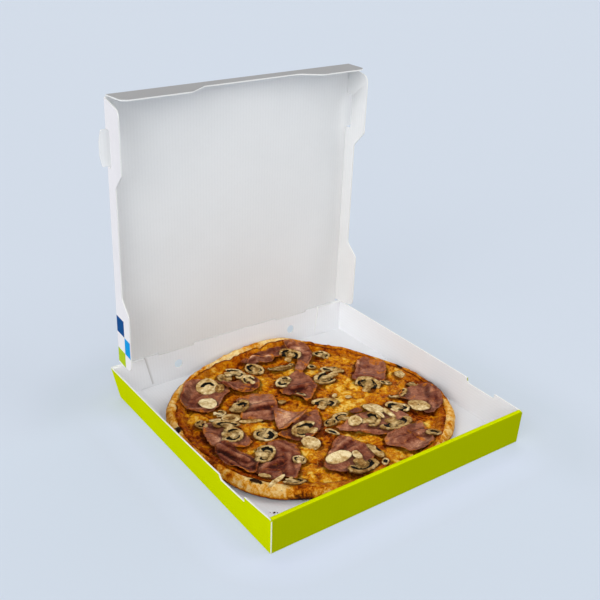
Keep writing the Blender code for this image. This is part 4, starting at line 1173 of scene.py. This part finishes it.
def set_stage():
    """A plain pale floor, lit from below like a light table.

    The glow depends on the distance to a rounded square round the tray.  At the left
    and in front it is stronger close to it: painted light that makes up for most of
    the tray's shadow.  At the right and back it is a little weaker close to it: a
    faint painted shadow.
    """
    half_x, half_y, rounding = 0.1327, 0.1272, 0.04
    reach, below = 20, -0.0004
    look = Look("pale_floor", 0.9, 0.1)
    look.inputs["Base Color"].default_value = (0.252, 0.281, 0.315, 1)
    apart = look.place.into("VectorMath", operation="ABSOLUTE")
    apart = apart.into("VectorMath", (half_x, half_y, 1), operation="SUBTRACT")
    apart = apart.into("VectorMath", (0, 0, 0), operation="MAXIMUM")
    apart = apart.into("VectorMath", operation="LENGTH", out=1) - rounding
    # painted light close to the tray at the left and front
    painted_light_left_front = apart.stretch(0, 0.12).shades(
        (0.0, 169, 176, 196), (0.1, 173, 179, 198), (0.21, 170, 177, 193),
        (0.42, 165, 172, 185), (0.67, 164, 172, 184), (1.0, 163, 171, 182))
    # a faint painted shadow close to the tray at the right and back
    painted_shadow_right_back = apart.stretch(0, 0.15).shades(
        (0.0, 157, 164, 173), (0.27, 158, 165, 176), (0.5, 157, 165, 175),
        (0.73, 160, 167, 178), (1.0, 164, 171, 182))
    near = look.place.axis(0).stretch(0.12, 0.21, 1, 0)
    near = near * look.place.axis(1).stretch(0.10, 0.18, 1, 0)
    look.feed("Emission Color", near.between(painted_shadow_right_back, painted_light_left_front))
    look.inputs["Emission Strength"].default_value = 1.0
    mesh = bpy.data.meshes.new("floor")
    corners = [(-reach, -reach, below), (reach, -reach, below), (reach, reach, below),
               (-reach, reach, below)]
    mesh.from_pydata(corners, [], [(0, 1, 2, 3)])
    mesh.materials.append(look.material)
    floor = placed("floor", mesh)


def direction(azimuth, elevation):
    """Towards an azimuth, 0 being the front and a quarter turn the right, and an elevation."""
    flat = math.cos(elevation)
    return Vector((math.sin(azimuth) * flat, -math.cos(azimuth) * flat, math.sin(elevation)))


def add_sun(name, azimuth, elevation, strength, spread):
    """A soft far light that shines from an azimuth and elevation in degrees."""
    light = bpy.data.lights.new(name, "SUN")
    light.energy = strength
    light.angle = math.radians(spread)
    towards = direction(math.radians(azimuth), math.radians(elevation))
    lamp = placed(name, light)
    lamp.rotation_euler = towards.to_track_quat("Z", "Y").to_euler()
    lamp.location = towards * 2


def set_lights():
    """Soft light all round, a key from the left and a softer one from the right.

    Behind everything the same pale blue as the floor shows.
    """
    world = bpy.data.worlds.new("studio")
    bpy.context.scene.world = world
    world.use_nodes = True
    tree = world.node_tree
    seen = step(tree, "LightPath")
    shown = seen.between((0.26, 0.26, 0.26, 1), (0.651, 0.723, 0.812, 1))
    backdrop = tree.nodes["Background"].inputs
    tree.links.new(shown.socket, backdrop["Color"])
    backdrop["Strength"].default_value = 1.0
    add_sun("key", -75, 38, 0.96, 35)
    add_sun("low_key", -60, 15, 0.92, 40)
    add_sun("front", -20, 35, 0.68, 50)
    add_sun("right", 60, 30, 1.07, 50)
    add_sun("back", 150, 50, 1.04, 60)


def set_camera():
    """The camera: turned, raised and rolled a little about a place over the tray."""
    azimuth, elevation, roll = -0.60489, 0.41998, 0.01231
    distance, target = 0.999, Vector((-0.00826, 0.03754, 0.17082))
    back = direction(azimuth, elevation)
    right = Vector((0, 0, 1)).cross(back).normalized()
    level = Matrix((right, back.cross(right), back)).transposed().to_4x4()
    data = bpy.data.cameras.new("camera")
    data.sensor_width = 36
    data.lens = 53.815
    data.shift_x, data.shift_y = 0.01907, -0.04118
    data.clip_start, data.clip_end = 0.05, 60
    camera = placed("camera", data)
    camera.matrix_world = (Matrix.Translation(target + back * distance) @ level
                           @ Matrix.Rotation(roll, 4, "Z"))
    bpy.context.scene.camera = camera


dress()
set_stage()
set_lights()
set_camera()
bpy.context.scene.view_settings.view_transform = "Standard"
